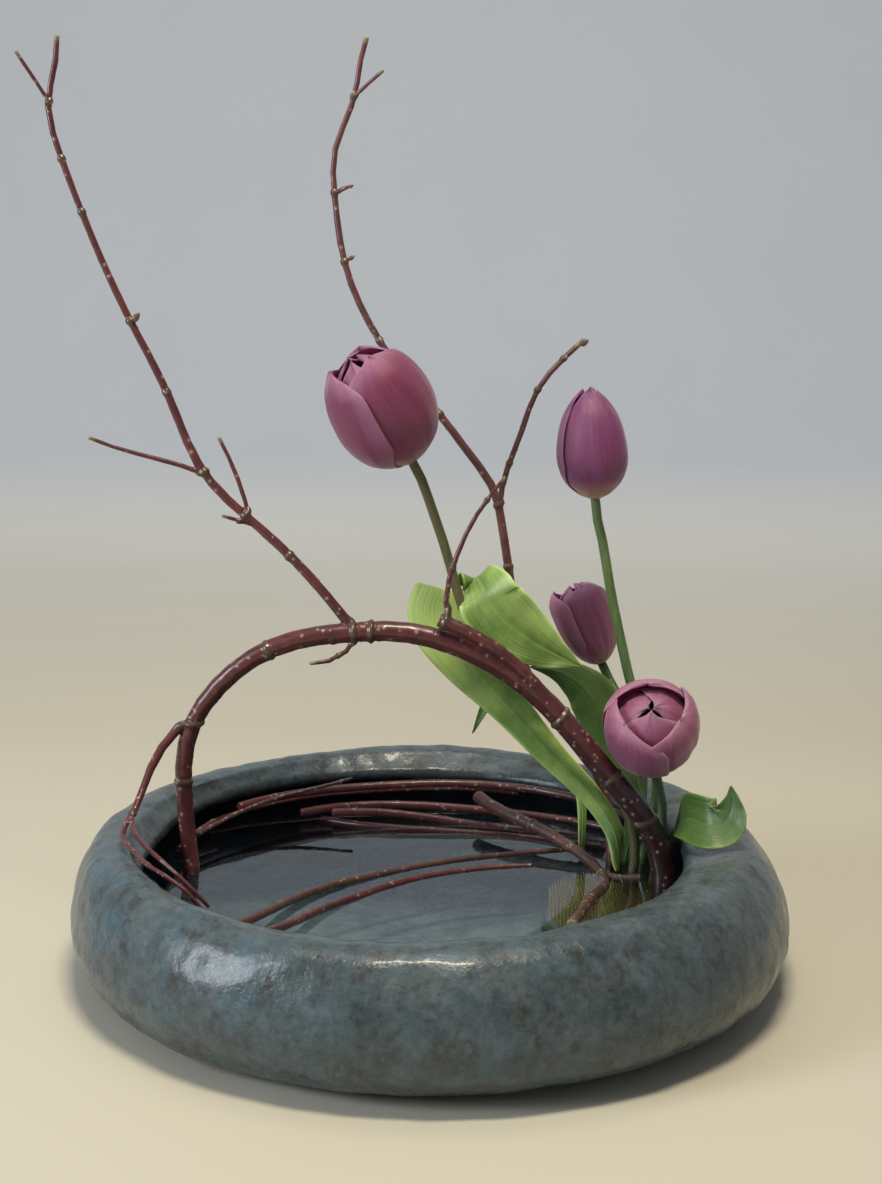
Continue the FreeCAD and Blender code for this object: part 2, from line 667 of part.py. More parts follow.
# ---------------------------------------------------------------------------------------------
# Leaves
# ---------------------------------------------------------------------------------------------

BLADE_SECTIONS = 11


def blade(name, alias, stations):
    """A leaf blade lofted through flat sections.  Each station has a centre, an across direction and
    a fraction of the leaf's full width; the sections are spread evenly along the leaf."""
    curve = smooth_path([centre for centre, _, _ in stations])
    marks = [curve.parameter(Vector(*centre)) for centre, _, _ in stations]
    sections = []
    for index in range(BLADE_SECTIONS):
        span = curve.LastParameter - curve.FirstParameter
        parameter = curve.FirstParameter + span * index / (BLADE_SECTIONS - 1)
        upper = next((i for i in range(1, len(marks)) if marks[i] >= parameter - 1e-6), len(marks) - 1)
        share = (parameter - marks[upper - 1]) / (marks[upper] - marks[upper - 1])
        across = between(Vector(*stations[upper - 1][1]), Vector(*stations[upper][1]), share)
        fraction = between(stations[upper - 1][2], stations[upper][2], share)
        along = curve.tangent(parameter)[0]
        side = (across - along * across.dot(along)).normalize()
        section = doc.addObject("Part::Plane", "%sSection%d" % (name, index + 1))
        bind(section, "Length", "{%s} * %.3f + {leaf_thickness}" % (alias, fraction))
        bind(section, "Width", "{leaf_thickness}")
        turn = Rotation(side, along.cross(side), along, "ZXY")
        corner = Vector(dim(alias) * fraction + dim("leaf_thickness"), dim("leaf_thickness"), 0) / -2
        section.Placement = Placement(curve.value(parameter) + turn.multVec(corner), turn)
        sections.append(section)
    loft = doc.addObject("Part::Loft", name)
    loft.Sections = sections
    loft.Solid = True
    loft.Ruled = True
    return loft


def make_leaves():
    """Four tulip leaves; the large one rises behind the arch and folds forward over itself."""
    rising = blade("Leaf1Rising", "leaf_1_width", [
        ((111, 17, 47.5), (0.3, 1, 0.2), 0.12),
        ((108, 24, 66), (0.7, 0.3, 0.7), 0.25),
        ((95, 34, 86), (0.7, 0.3, 0.7), 0.3),
        ((71, 42, 109), (0.7, 0.2, 0.7), 0.38),
        ((47, 49, 135), (0.7, 0.1, 0.7), 0.52),
        ((24, 55, 160), (0.8, 0.1, 0.6), 0.8),
        ((12, 58, 184), (1, 0, 0.3), 1.05),
        ((15, 58, 203), (1, 0, 0.3), 1.1),
    ])
    falling = blade("Leaf1Falling", "leaf_1_width", [
        ((24, 58.2, 193), (0.9, 0, 0.4), 0.25),
        ((33, 51, 208), (0.9, 0, 0.4), 0.22),
        ((37, 41, 199), (0.7, 0, 0.75), 0.8),
        ((46, 38, 187), (0.7, 0, 0.75), 0.95),
        ((62, 37, 174), (0.7, 0, 0.75), 0.7),
        ((88, 37, 162), (0.5, 0, 1), 0.08),
    ])
    node(grow_together("Leaf1", [rising, falling]), "tulip_1_leaf")
    node(blade("Leaf2", "leaf_2_width", [
        ((116, 35, 42), (1, 0.2, 0), 0.1),
        ((122, 43, 70), (1, 0.2, 0.2), 0.3),
        ((113, 47, 96), (1, 0.1, 0.4), 0.7),
        ((104, 51, 121), (1, 0, 0.4), 0.85),
        ((98, 53, 138), (0.8, 0, 0.7), 1.0),
        ((88, 54, 149), (0.4, 0, 1), 0.75),
        ((75, 54, 155), (0.1, 0, 1), 0.4),
        ((61, 54, 157), (0.0, 0, 1), 0.08),
    ]), "tulip_2_leaf")
    node(blade("Leaf3", "leaf_3_width", [
        ((92, 42, 42), (1, 0.5, 0), 0.4),
        ((92, 62, 80), (1, 0.5, 0.6), 0.8),
        ((76, 70, 101), (1, 0.3, 0.8), 1.0),
        ((54, 76, 122), (1, 0.3, 0.8), 1.0),
        ((43, 80, 132), (0.5, 0, 1), 0.9),
        ((36, 80, 129), (1, 0, -0.8), 0.8),
        ((27, 78, 110), (1, 0, -0.4), 0.08),
    ]), "tulip_3_leaf")
    node(blade("Leaf4", "leaf_4_width", [
        ((139, 13, 40), (0.3, 1, 0), 0.06),
        ((141, 13.5, 58), (0.3, 1, 0), 0.1),
        ((143, 11.5, 74), (0.3, 0.8, 0.5), 0.4),
        ((147, 0, 85), (0, 0.45, 0.9), 0.9),
        ((155, -20, 90), (0, 0.35, 0.95), 1.0),
        ((162, -28, 92), (0, 0.3, 0.95), 0.9),
        ((166, -25, 96), (0, 0.3, 1), 0.5),
    ]), "tulip_4_leaf")


# ---------------------------------------------------------------------------------------------
# Build, check and export
# ---------------------------------------------------------------------------------------------

make_bowl()
make_frog_base()
make_frog_gasket()
make_frog_needles()
make_arch_branch()
make_back_branch()
make_forked_branch()
make_loose_twigs()
for tulip_number in TULIPS:
    make_tulip(tulip_number)
make_leaves()
doc.recompute()

for obj in doc.Objects:
    if "Invalid" in obj.State or "Error" in obj.State:
        raise SystemExit("%s did not build: %s" % (obj.Name, obj.State))
for part in NODES:
    shape = part.Shape
    if shape.isNull() or not shape.isValid() or not shape.Solids:
        raise SystemExit("%s has no valid solid" % part.Label)
    shape.exportStep(os.path.join("parts", part.Label + ".step"))
    print("%-24s solids %4d  volume %10.1f mm3" % (part.Label, len(shape.Solids), shape.Volume))
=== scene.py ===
"""Looks for the low-bowl flower arrangement.

Metres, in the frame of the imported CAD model.  Wood is a smoothed and knotted copy of each CAD limb;
blooms are modelled petal by petal round the CAD pistils; leaves are sheets through stations of their
own, close to the CAD blades; the bowl is a lumpy hand-built ring close to the CAD bowl's profile.
"""

import math
import random

import bmesh
import bpy
import numpy as np
from mathutils import Matrix, Vector, noise


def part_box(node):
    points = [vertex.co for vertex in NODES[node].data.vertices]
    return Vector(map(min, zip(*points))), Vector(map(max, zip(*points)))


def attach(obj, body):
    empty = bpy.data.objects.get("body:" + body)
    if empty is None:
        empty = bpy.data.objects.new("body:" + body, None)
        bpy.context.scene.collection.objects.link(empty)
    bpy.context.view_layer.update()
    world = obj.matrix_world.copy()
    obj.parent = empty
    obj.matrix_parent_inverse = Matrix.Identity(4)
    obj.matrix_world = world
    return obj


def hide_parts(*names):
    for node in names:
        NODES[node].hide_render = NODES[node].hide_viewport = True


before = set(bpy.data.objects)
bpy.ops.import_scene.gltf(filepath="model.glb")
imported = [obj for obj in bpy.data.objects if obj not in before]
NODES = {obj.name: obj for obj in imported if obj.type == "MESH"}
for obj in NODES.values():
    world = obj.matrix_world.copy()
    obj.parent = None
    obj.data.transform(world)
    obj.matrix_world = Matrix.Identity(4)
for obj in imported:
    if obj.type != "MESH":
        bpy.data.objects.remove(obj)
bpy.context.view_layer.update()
MM = 0.001
random.seed(7)


# ---------------------------------------------------------------------------------------------
# Small helpers
# ---------------------------------------------------------------------------------------------

def smooth_through(points, count):
    """Points spread along a Catmull-Rom curve through the given rows of numbers."""
    rows = np.array(points, float)
    padded = np.vstack([2 * rows[0] - rows[1], rows, 2 * rows[-1] - rows[-2]])
    out = []
    for place in np.linspace(0, len(rows) - 1 - 1e-9, count):
        first = int(place)
        t = place - first
        a, b, c, d = padded[first:first + 4]
        out.append(0.5 * (2 * b + (c - a) * t + (2 * a - 5 * b + 4 * c - d) * t ** 2
                          + (3 * b - a - 3 * c + d) * t ** 3))
    return np.array(out)


def wobble(x, y, z, scale):
    """Smooth noise between about -1 and 1."""
    return noise.noise(Vector((x, y, z)) * scale)


def link(obj):
    bpy.context.scene.collection.objects.link(obj)
    return obj


def mesh_object(name, vertices, faces):
    mesh = bpy.data.meshes.new(name)
    mesh.from_pydata([tuple(v) for v in vertices], [], faces)
    mesh.update()
    mesh.polygons.foreach_set("use_smooth", [True] * len(mesh.polygons))
    return link(bpy.data.objects.new(name, mesh))


def paint(obj, name, values):
    """Stores one number per vertex for the materials to read."""
    attribute = obj.data.attributes.new(name, "FLOAT", "POINT")
    attribute.data.foreach_set("value", np.array(values, np.float32))


def coordinates(obj):
    count = len(obj.data.vertices)
    flat = np.zeros(count * 3)
    obj.data.vertices.foreach_get("co", flat)
    return flat.reshape(-1, 3)


def normals(obj):
    flat = np.zeros(len(obj.data.vertices) * 3)
    obj.data.vertices.foreach_get("normal", flat)
    return flat.reshape(-1, 3)


def set_coordinates(obj, points):
    obj.data.vertices.foreach_set("co", np.asarray(points, float).ravel())
    obj.data.update()


def finish_piece(obj, material, body, slot, *nodes):
    """Material, body and the CAD nodes a piece stands for; slot is not used."""
    obj.data.materials.clear()
    obj.data.materials.append(material)
    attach(obj, body)
    if nodes:
        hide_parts(*nodes)
    return obj


# ---------------------------------------------------------------------------------------------
# Materials
# ---------------------------------------------------------------------------------------------

class Shader:
    """A Principled material built up from procedural nodes."""

    def __init__(self, name):
        self.material = bpy.data.materials.new(name)
        self.material.use_nodes = True
        self.tree = self.material.node_tree
        self.skin = self.tree.nodes["Principled BSDF"]
        self.place = self.tree.nodes.new("ShaderNodeTexCoord").outputs["Object"]

    def connect(self, value, socket):
        if isinstance(value, bpy.types.NodeSocket):
            self.tree.links.new(value, socket)
        elif isinstance(value, tuple) and len(value) == 3 and socket.type == "RGBA":
            socket.default_value = (*value, 1.0)
        else:
            socket.default_value = value

    def set(self, **inputs):
        for name, value in inputs.items():
            self.connect(value, self.skin.inputs[name.replace("_", " ")])

    def stretched(self, x, y, z):
        node = self.tree.nodes.new("ShaderNodeMapping")
        self.connect(self.place, node.inputs["Vector"])
        node.inputs["Scale"].default_value = (x, y, z)
        return node.outputs["Vector"]

    def noise(self, scale, detail=4.0, rough=0.55, twist=0.0, vector=None):
        node = self.tree.nodes.new("ShaderNodeTexNoise")
        self.connect(vector or self.place, node.inputs["Vector"])
        node.inputs["Scale"].default_value = scale
        node.inputs["Detail"].default_value = detail
        node.inputs["Roughness"].default_value = rough
        node.inputs["Distortion"].default_value = twist
        return node.outputs["Fac"]

    def cells(self, scale, vector=None):
        node = self.tree.nodes.new("ShaderNodeTexVoronoi")
        self.connect(vector or self.place, node.inputs["Vector"])
        node.inputs["Scale"].default_value = scale
        return node.outputs["Distance"]

    def vertex(self, name):
        node = self.tree.nodes.new("ShaderNodeAttribute")
        node.attribute_name = name
        return node.outputs["Fac"]

    def axis(self, name):
        node = self.tree.nodes.new("ShaderNodeSeparateXYZ")
        self.connect(self.place, node.inputs["Vector"])
        return node.outputs[name]

    def math(self, kind, a, b=0.0):
        node = self.tree.nodes.new("ShaderNodeMath")
        node.operation = kind
        self.connect(a, node.inputs[0])
        self.connect(b, node.inputs[1])
        return node.outputs[0]

    def span(self, value, low, high, to_low=0.0, to_high=1.0):
        node = self.tree.nodes.new("ShaderNodeMapRange")
        self.connect(value, node.inputs["Value"])
        for name, number in (("From Min", low), ("From Max", high), ("To Min", to_low), ("To Max", to_high)):
            node.inputs[name].default_value = number
        return node.outputs["Result"]

    def mix(self, share, a, b):
        node = self.tree.nodes.new("ShaderNodeMix")
        node.data_type = "RGBA"
        self.connect(share, node.inputs[0])
        self.connect(a, node.inputs[6])
        self.connect(b, node.inputs[7])
        return node.outputs[2]

    def bump(self, height, strength, distance):
        node = self.tree.nodes.new("ShaderNodeBump")
        node.inputs["Strength"].default_value = strength
        node.inputs["Distance"].default_value = distance
        self.connect(height, node.inputs["Height"])
        if self.skin.inputs["Normal"].links:
            self.connect(self.skin.inputs["Normal"].links[0].from_socket, node.inputs["Normal"])
        self.connect(node.outputs["Normal"], self.skin.inputs["Normal"])


def glaze_material():
    """Glossy mottled blue-grey glaze with teal, green-grey and brown patches, and painted shade darkening the
    inside almost to black.
    """
    s = Shader("glaze")
    clouds = s.span(s.noise(16, 6, 0.62, 0.6), 0.36, 0.64)
    mottle = s.span(s.noise(52, 8, 0.68, 0.4), 0.36, 0.66)
    fine = s.span(s.noise(230, 6, 0.7), 0.40, 0.66)
    colour = s.mix(clouds, (0.022, 0.036, 0.046), (0.062, 0.088, 0.100))
    colour = s.mix(s.math("MULTIPLY", mottle, 0.50), colour, (0.105, 0.140, 0.152))
    to_the_right = s.span(s.axis("X"), -0.16, 0.18, 0.25, 0.9)
    green = s.math("MULTIPLY", s.span(s.noise(22, 5, 0.6, 0.8), 0.47, 0.62), to_the_right)
    colour = s.mix(green, colour, (0.040, 0.044, 0.034))
    to_the_left = s.span(s.axis("X"), 0.10, -0.18, 0.1, 0.8)
    teal = s.math("MULTIPLY", s.span(s.noise(27, 5, 0.6), 0.52, 0.66), to_the_left)
    colour = s.mix(teal, colour, (0.050, 0.105, 0.140))
    brown = s.math("MULTIPLY", s.span(s.noise(80, 6, 0.7, 0.5), 0.52, 0.64), 0.7)
    colour = s.mix(brown, colour, (0.034, 0.028, 0.022))
    pits = s.span(s.cells(170), 0.16, 0.05)
    colour = s.mix(s.math("MULTIPLY", pits, 0.45), colour, (0.020, 0.026, 0.030))
    flecks = s.math("MULTIPLY", fine, 0.16)
    colour = s.mix(flecks, colour, (0.260, 0.300, 0.310))
    # painted shade: the inside below the lip is darkened almost to black, for the shade under the rim
    colour = s.mix(s.math("MULTIPLY", s.vertex("inside"), 0.9), colour, (0.004, 0.006, 0.009))
    floor = s.mix(s.span(s.noise(60, 6, 0.7), 0.38, 0.62), (0.085, 0.110, 0.125), (0.190, 0.225, 0.240))
    shaded_floor = s.mix(fine, (0.010, 0.018, 0.030), (0.090, 0.110, 0.120))
    floor = s.mix(s.span(s.axis("Y"), -0.02, 0.08), floor, shaded_floor)
    floor = s.mix(s.math("MULTIPLY", s.span(s.cells(140), 0.12, 0.04), 0.7), floor, (0.020, 0.020, 0.020))
    colour = s.mix(s.vertex("basin_floor"), colour, floor)
    s.set(Base_Color=colour, Roughness=s.span(mottle, 0, 1, 0.22, 0.42), Coat_Weight=0.15,
          Coat_Roughness=0.08, Specular_IOR_Level=0.32)
    s.bump(s.noise(70, 5, 0.6), 0.60, 0.0022)
    s.bump(s.noise(300, 4, 0.6), 0.20, 0.0008)
    return s.material


def bark_material(name, light, dark, shade_from, shade_to, gloss):
    """Smooth red bark with pale breathing pores and greener joints, darkened low down towards one side by
    painted shade.
    """
    s = Shader(name)
    streak = s.span(s.noise(160, 5, 0.6, 0.3), 0.35, 0.66)
    blotch = s.span(s.noise(34, 4, 0.6), 0.38, 0.64)
    colour = s.mix(streak, dark, light)
    colour = s.mix(s.math("MULTIPLY", blotch, 0.5), colour, tuple(c * 0.55 for c in dark))
    # painted shade: darkest low down, on the side between shade_from and shade_to
    deep = s.span(s.axis("X"), shade_from, shade_to)
    low = s.span(s.axis("Z"), 0.20, 0.06)
    shade = s.math("MULTIPLY", s.math("MULTIPLY", deep, low), 0.85)
    colour = s.mix(shade, colour, (0.016, 0.008, 0.007))
    colour = s.mix(s.vertex("joint"), colour, (0.075, 0.060, 0.030))
    colour = s.mix(s.vertex("pore"), colour, (0.42, 0.30, 0.24))
    colour = s.mix(s.vertex("cut"), colour, (0.20, 0.19, 0.10))
    s.set(Base_Color=colour, Roughness=s.span(streak, 0, 1, gloss + 0.14, gloss), Coat_Weight=0.25,
          Coat_Roughness=0.18)
    s.bump(s.noise(420, 4, 0.6), 0.25, 0.0004)
    return s.material


def petal_material(name, face, edge, foot, deep):
    """Satin petal: lengthwise streaks, paler edges, a foot of its own colour and a red inner face."""
    s = Shader(name)
    along = s.vertex("along")
    across = s.vertex("across")
    width = s.math("ABSOLUTE", across)
    lines = s.tree.nodes.new("ShaderNodeCombineXYZ")
    s.connect(s.math("MULTIPLY", across, 26.0), lines.inputs["X"])
    s.connect(s.math("MULTIPLY", along, 2.2), lines.inputs["Y"])
    s.connect(s.vertex("seed"), lines.inputs["Z"])
    streaks = s.span(s.noise(1.0, 5, 0.65, 0.2, lines.outputs["Vector"]), 0.34, 0.66)
    colour = s.mix(s.math("MULTIPLY", streaks, 0.65), face, deep)
    colour = s.mix(s.math("MULTIPLY", s.span(width, 0.10, 0.02), 0.35), colour, deep)
    pale = s.math("MAXIMUM", s.span(width, 0.72, 1.0), s.span(along, 0.86, 1.0))
    colour = s.mix(s.math("MULTIPLY", pale, 0.75), colour, edge)
    colour = s.mix(s.span(along, 0.20, 0.02), colour, foot)
    colour = s.mix(s.math("MULTIPLY", s.vertex("inner_face"), 0.55), colour, (0.20, 0.012, 0.045))
    s.set(Base_Color=colour, Roughness=0.46, Subsurface_Weight=0.18, Subsurface_Scale=0.004,
          Subsurface_Radius=(1.0, 0.35, 0.5), Sheen_Weight=0.25, Sheen_Roughness=0.4)
    s.bump(streaks, 0.35, 0.0004)
    return s.material


def leaf_material(name, face, pale, yellow):
    """Waxy leaf with parallel veins and a pale margin, turned lighter and yellower where painted sunlight is
    laid on.
    """
    s = Shader(name)
    along = s.vertex("along")
    across = s.vertex("across")
    lines = s.tree.nodes.new("ShaderNodeCombineXYZ")
    s.connect(s.math("MULTIPLY", across, 17.0), lines.inputs["X"])
    s.connect(s.math("MULTIPLY", along, 1.6), lines.inputs["Y"])
    veins = s.span(s.noise(1.0, 3, 0.5, 0.1, lines.outputs["Vector"]), 0.36, 0.64)
    colour = s.mix(s.math("MULTIPLY", veins, 0.55), face, pale)
    colour = s.mix(s.math("MULTIPLY", s.span(s.math("ABSOLUTE", across), 0.84, 1.0), 0.6), colour, yellow)
    colour = s.mix(s.math("MULTIPLY", s.span(s.noise(28, 4, 0.6), 0.42, 0.66), 0.35), colour, yellow)
    # painted light: the yellow laid over the lit parts of a blade, as far as its painted-light mask reaches
    colour = s.mix(s.vertex("painted_sunlight"), colour, yellow)
    s.set(Base_Color=colour, Roughness=0.42, Subsurface_Weight=0.12, Subsurface_Scale=0.003,
          Subsurface_Radius=(0.5, 1.0, 0.2), Coat_Weight=0.15, Coat_Roughness=0.3)
    s.bump(veins, 0.3, 0.0004)
    return s.material


def stem_material(name, face, shade):
    s = Shader(name)
    streak = s.span(s.noise(1.0, 4, 0.6, 0.1, s.stretched(420, 420, 30)), 0.36, 0.64)
    patch = s.span(s.noise(24, 3, 0.5), 0.40, 0.62)
    colour = s.mix(streak, face, shade)
    colour = s.mix(s.math("MULTIPLY", patch, 0.35), colour, tuple(c * 1.5 for c in face))
    s.set(Base_Color=colour, Roughness=0.45, Subsurface_Weight=0.1, Subsurface_Scale=0.002)
    s.bump(streak, 0.25, 0.0003)
    return s.material


def plain_material(name, colour, rough, metallic, scale, contrast):
    """Cast, moulded or drawn surfaces: one colour with fine wear."""
    s = Shader(name)
    wear = s.span(s.noise(scale, 5, 0.65), 0.36, 0.66)
    s.set(Base_Color=s.mix(wear, colour, tuple(min(1.0, c * contrast) for c in colour)), Metallic=metallic,
          Roughness=s.span(wear, 0, 1, rough, min(1.0, rough + 0.18)))
    s.bump(wear, 0.2, 0.0003)
    return s.material


def water_material():
    """Clear still water: tinted see-through body with a mirror surface seen at low angles."""
    s = Shader("water")
    tree = s.tree
    clear = tree.nodes.new("ShaderNodeBsdfTransparent")
    clear.inputs["Color"].default_value = (0.90, 0.95, 0.96, 1)
    gloss = tree.nodes.new("ShaderNodeBsdfGlossy")
    gloss.inputs["Roughness"].default_value = 0.03
    gloss.inputs["Color"].default_value = (0.86, 0.93, 1.0, 1)
    fresnel = tree.nodes.new("ShaderNodeFresnel")
    fresnel.inputs["IOR"].default_value = 1.4
    ripple = tree.nodes.new("ShaderNodeBump")
    ripple.inputs["Strength"].default_value = 0.12
    ripple.inputs["Distance"].default_value = 0.001
    s.connect(s.noise(22, 2, 0.5), ripple.inputs["Height"])
    s.connect(ripple.outputs["Normal"], gloss.inputs["Normal"])
    mixer = tree.nodes.new("ShaderNodeMixShader")
    facing = tree.nodes.new("ShaderNodeNewGeometry")
    front = s.math("SUBTRACT", 1.0, facing.outputs["Backfacing"])
    s.connect(s.math("MULTIPLY", s.math("MULTIPLY", fresnel.outputs["Fac"], 1.25), front), mixer.inputs[0])
    tree.links.new(clear.outputs[0], mixer.inputs[1])
    tree.links.new(gloss.outputs[0], mixer.inputs[2])
    tree.links.new(mixer.outputs[0], tree.nodes["Material Output"].inputs["Surface"])
    tree.nodes.remove(s.skin)
    return s.material


GLAZE = glaze_material()
BARK = bark_material("bark_red", (0.150, 0.034, 0.034), (0.070, 0.016, 0.016), 0.02, 0.13, 0.26)
BARK_BACK = bark_material("bark_light", (0.185, 0.060, 0.056), (0.090, 0.026, 0.026), 0.9, 1.0, 0.34)
BARK_BROWN = bark_material("bark_brown", (0.125, 0.052, 0.036), (0.060, 0.024, 0.018), 0.9, 1.0, 0.36)
TULIP_PETALS = {
    # face, edge, foot and deep colours
    1: petal_material("petal_1", (0.260, 0.088, 0.200), (0.560, 0.330, 0.560),
                      (0.220, 0.090, 0.110), (0.160, 0.038, 0.100)),
    2: petal_material("petal_2", (0.190, 0.085, 0.250), (0.340, 0.180, 0.420),
                      (0.600, 0.480, 0.300), (0.090, 0.036, 0.130)),
    # tulip 3: partly its own pink, partly painted light, raised to make up for the shade it stands in behind
    # the leaf
    3: petal_material("petal_3", (0.600, 0.240, 0.440), (0.780, 0.480, 0.700),
                      (0.520, 0.380, 0.260), (0.380, 0.130, 0.250)),
    4: petal_material("petal_4", (0.460, 0.200, 0.340), (0.700, 0.460, 0.640),
                      (0.360, 0.190, 0.200), (0.280, 0.100, 0.190)),
}
# one leaf colour given twice: as lit, and as a darker copy that is painted shade
LEAF_LIT = leaf_material("leaf_lit", (0.110, 0.200, 0.034), (0.190, 0.310, 0.068), (0.620, 0.800, 0.230))
LEAF_SHADED = leaf_material("leaf_shaded", (0.050, 0.105, 0.022), (0.090, 0.170, 0.040), (0.170, 0.260, 0.050))
STEMS = {
    1: stem_material("stem_olive", (0.120, 0.110, 0.045), (0.070, 0.060, 0.026)),
    2: stem_material("stem_green", (0.120, 0.190, 0.060), (0.070, 0.120, 0.040)),
    3: stem_material("stem_dark", (0.080, 0.140, 0.045), (0.045, 0.085, 0.028)),
    4: stem_material("stem_low", (0.085, 0.130, 0.045), (0.050, 0.080, 0.030)),
}
POLLEN = plain_material("pollen", (0.10, 0.065, 0.030), 0.75, 0.0, 900, 1.6)
CAPSULE = plain_material("seed_capsule", (0.36, 0.42, 0.16), 0.5, 0.0, 300, 1.3)
LEAD = plain_material("cast_lead", (0.16, 0.17, 0.18), 0.45, 0.9, 140, 1.5)
BRASS = plain_material("drawn_brass", (0.62, 0.45, 0.18), 0.26, 1.0, 700, 1.2)
RUBBER = plain_material("rubber", (0.020, 0.020, 0.022), 0.70, 0.0, 500, 1.6)


# ---------------------------------------------------------------------------------------------
# Bowl
# ---------------------------------------------------------------------------------------------

RIM_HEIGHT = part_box("bowl")[1].z
OPENING_CENTRE = -0.008  # the basin and its opening sit a little to the left of the outside
OPENING_RADIUS = 0.153
BASIN_RADIUS = 0.176
UNDERSIDE_TOP = 0.0008
FLOOR_TOP = 0.0135
FLOOR_EDGE = 0.15
WALL_LUMP_SHARE = 0.45  # lumps inside the basin, as a share of those on the rim and the outside


def bell(angle, centre, width):
    """A smooth bump round a compass angle, degrees."""
    away = (angle - centre + 180) % 360 - 180
    return math.exp(-(away / width) ** 2)


def bowl_section(turn):
    """Radius and height round the clay at one angle: outside from the middle of the underside up to
    the crest, then inside down to the middle of the floor.  Hand-built, so it changes with the angle."""
    fuller = 0.0045 * bell(turn, -35, 45) - 0.002 * bell(turn, 200, 50)
    crest = RIM_HEIGHT + 0.0016 * math.sin(math.radians(5 * turn)) * bell(turn, 90, 70)
    crest -= 0.001 * bell(turn, 250, 40)
    opening = OPENING_RADIUS - 0.006 * bell(turn, 180, 25) - 0.005 * bell(turn, -56, 18)
    opening += 0.0055 * bell(turn, -144, 18)
    outside = [(0.0, 0.0), (0.090, 0.0), (0.160, 0.0), (0.172, 0.0012), (0.184, 0.0060),
               (0.194 + fuller, 0.0150), (0.1995 + fuller, 0.0290), (0.1985 + fuller, 0.0420),
               (0.1945 + fuller * 0.7, 0.0560), (0.187, 0.0680), (0.180, crest - 0.0015), (0.1725, crest),
               (0.1645, crest - 0.0012)]
    inside = [(opening + 0.004, 0.0685), (opening, 0.0650), (opening, 0.0600), (opening + 0.008, 0.0555),
              (opening + 0.016, 0.0480), (BASIN_RADIUS - 0.0005, 0.0370), (BASIN_RADIUS - 0.002, 0.0270),
              (BASIN_RADIUS - 0.007, 0.0185), (BASIN_RADIUS - 0.016, 0.0130), (BASIN_RADIUS - 0.030, 0.0120),
              (0.090, 0.0120), (0.0, 0.0120)]
    return outside, inside


def make_bowl():
    """The clay as one closed ring of sections, then lumped a little all over."""
    columns = 420
    outer_rows = 74
    inner_rows = 62
    vertices = []
    painted_inside_shade = []
    floor_share = []
    for column in range(columns):
        turn = 360.0 * column / columns
        across = Vector((math.cos(math.radians(turn)), math.sin(math.radians(turn)), 0))
        outside, inside = bowl_section(turn)
        middle = Vector((OPENING_CENTRE, 0, 0))
        last = across * outside[-1][0]
        first_inside = [((last - middle).length, outside[-1][1])] + inside
        outer = smooth_through(outside, outer_rows)
        inner = smooth_through(first_inside, inner_rows)
        for radius, height in outer:
            vertices.append(across * max(radius, 0.0) + Vector((0, 0, height)))
            painted_inside_shade.append(0.0)
            floor_share.append(0.0)
        for radius, height in inner[1:]:
            vertices.append(middle + across * max(radius, 0.0) + Vector((0, 0, height)))
            painted_inside_shade.append(min(1.0, max(0.0, (0.069 - height) / 0.010)))
            floor_share.append(min(1.0, max(0.0, (0.166 - radius) / 0.012)) if height < 0.03 else 0.0)
    rows = outer_rows + inner_rows - 1
    faces = []
    for column in range(columns):
        here = column * rows
        there = ((column + 1) % columns) * rows
        for row in range(rows - 1):
            faces.append((here + row, there + row, there + row + 1, here + row + 1))
    bowl = mesh_object("bowl_clay", vertices, faces)
    # the inside mask marks where painted shade darkens the basin
    paint(bowl, "inside", painted_inside_shade)
    paint(bowl, "basin_floor", floor_share)
    shape = bmesh.new()
    shape.from_mesh(bowl.data)
    bmesh.ops.remove_doubles(shape, verts=shape.verts, dist=1e-6)
    bmesh.ops.recalc_face_normals(shape, faces=shape.faces)
    shape.to_mesh(bowl.data)
    shape.free()
    points = coordinates(bowl)
    out = normals(bowl)
    for index, point in enumerate(points):
        x, y, z = point
        away = math.hypot(x, y)
        if z < UNDERSIDE_TOP or (z < FLOOR_TOP and away < FLOOR_EDGE):
            continue
        outer = 1.0 if (away > 0.150 and z > 0.055) or away > 0.1785 else WALL_LUMP_SHARE
        lump = 0.0012 * wobble(x, y, z, 17) + 0.0011 * wobble(x, y, z, 40)
        lump += 0.00045 * wobble(x, y, z, 85) + 0.00025 * wobble(x, y, z, 140)
        points[index] = point + out[index] * lump * outer * min(1.0, z / 0.012)
    set_coordinates(bowl, points)
    return finish_piece(bowl, GLAZE, "bowl", "glaze", "bowl")


WATER_LEVEL = 0.0450


def make_water():
    """Still water: a thin closed disc with slow ripples, its edge inside the clay wall."""
    rings, columns = 46, 160
    radius = 0.1685
    thickness = 0.0006
    vertices = []
    for side in (0.0, -thickness):
        for ring in range(1, rings + 1):
            reach = radius * ring / rings
            for column in range(columns):
                angle = 2 * math.pi * column / columns
                x = OPENING_CENTRE + reach * math.cos(angle)
                y = reach * math.sin(angle)
                ripple = 0.00012 * wobble(x, y, 0.3, 38)
                vertices.append((x, y, WATER_LEVEL + side + ripple))
    top_middle = len(vertices)
    vertices.append((OPENING_CENTRE, 0, WATER_LEVEL))
    vertices.append((OPENING_CENTRE, 0, WATER_LEVEL - thickness))
    faces = []
    layer = rings * columns
    for column in range(columns):
        following = (column + 1) % columns
        for ring in range(rings - 1):
            a, b = ring * columns + column, ring * columns + following
            faces.append((a, b, b + columns, a + columns)[::-1])
            faces.append((layer + a, layer + b, layer + b + columns, layer + a + columns))
        faces.append((top_middle, column, following))
        faces.append((top_middle + 1, layer + following, layer + column))
        edge, edge_next = (rings - 1) * columns + column, (rings - 1) * columns + following
        faces.append((edge, layer + edge, layer + edge_next, edge_next))
    water = mesh_object("water_surface", vertices, faces)
    return finish_piece(water, water_material(), "bowl", None)


# ---------------------------------------------------------------------------------------------
# Wood: smoothed, knotted copies of the CAD limbs
# ---------------------------------------------------------------------------------------------

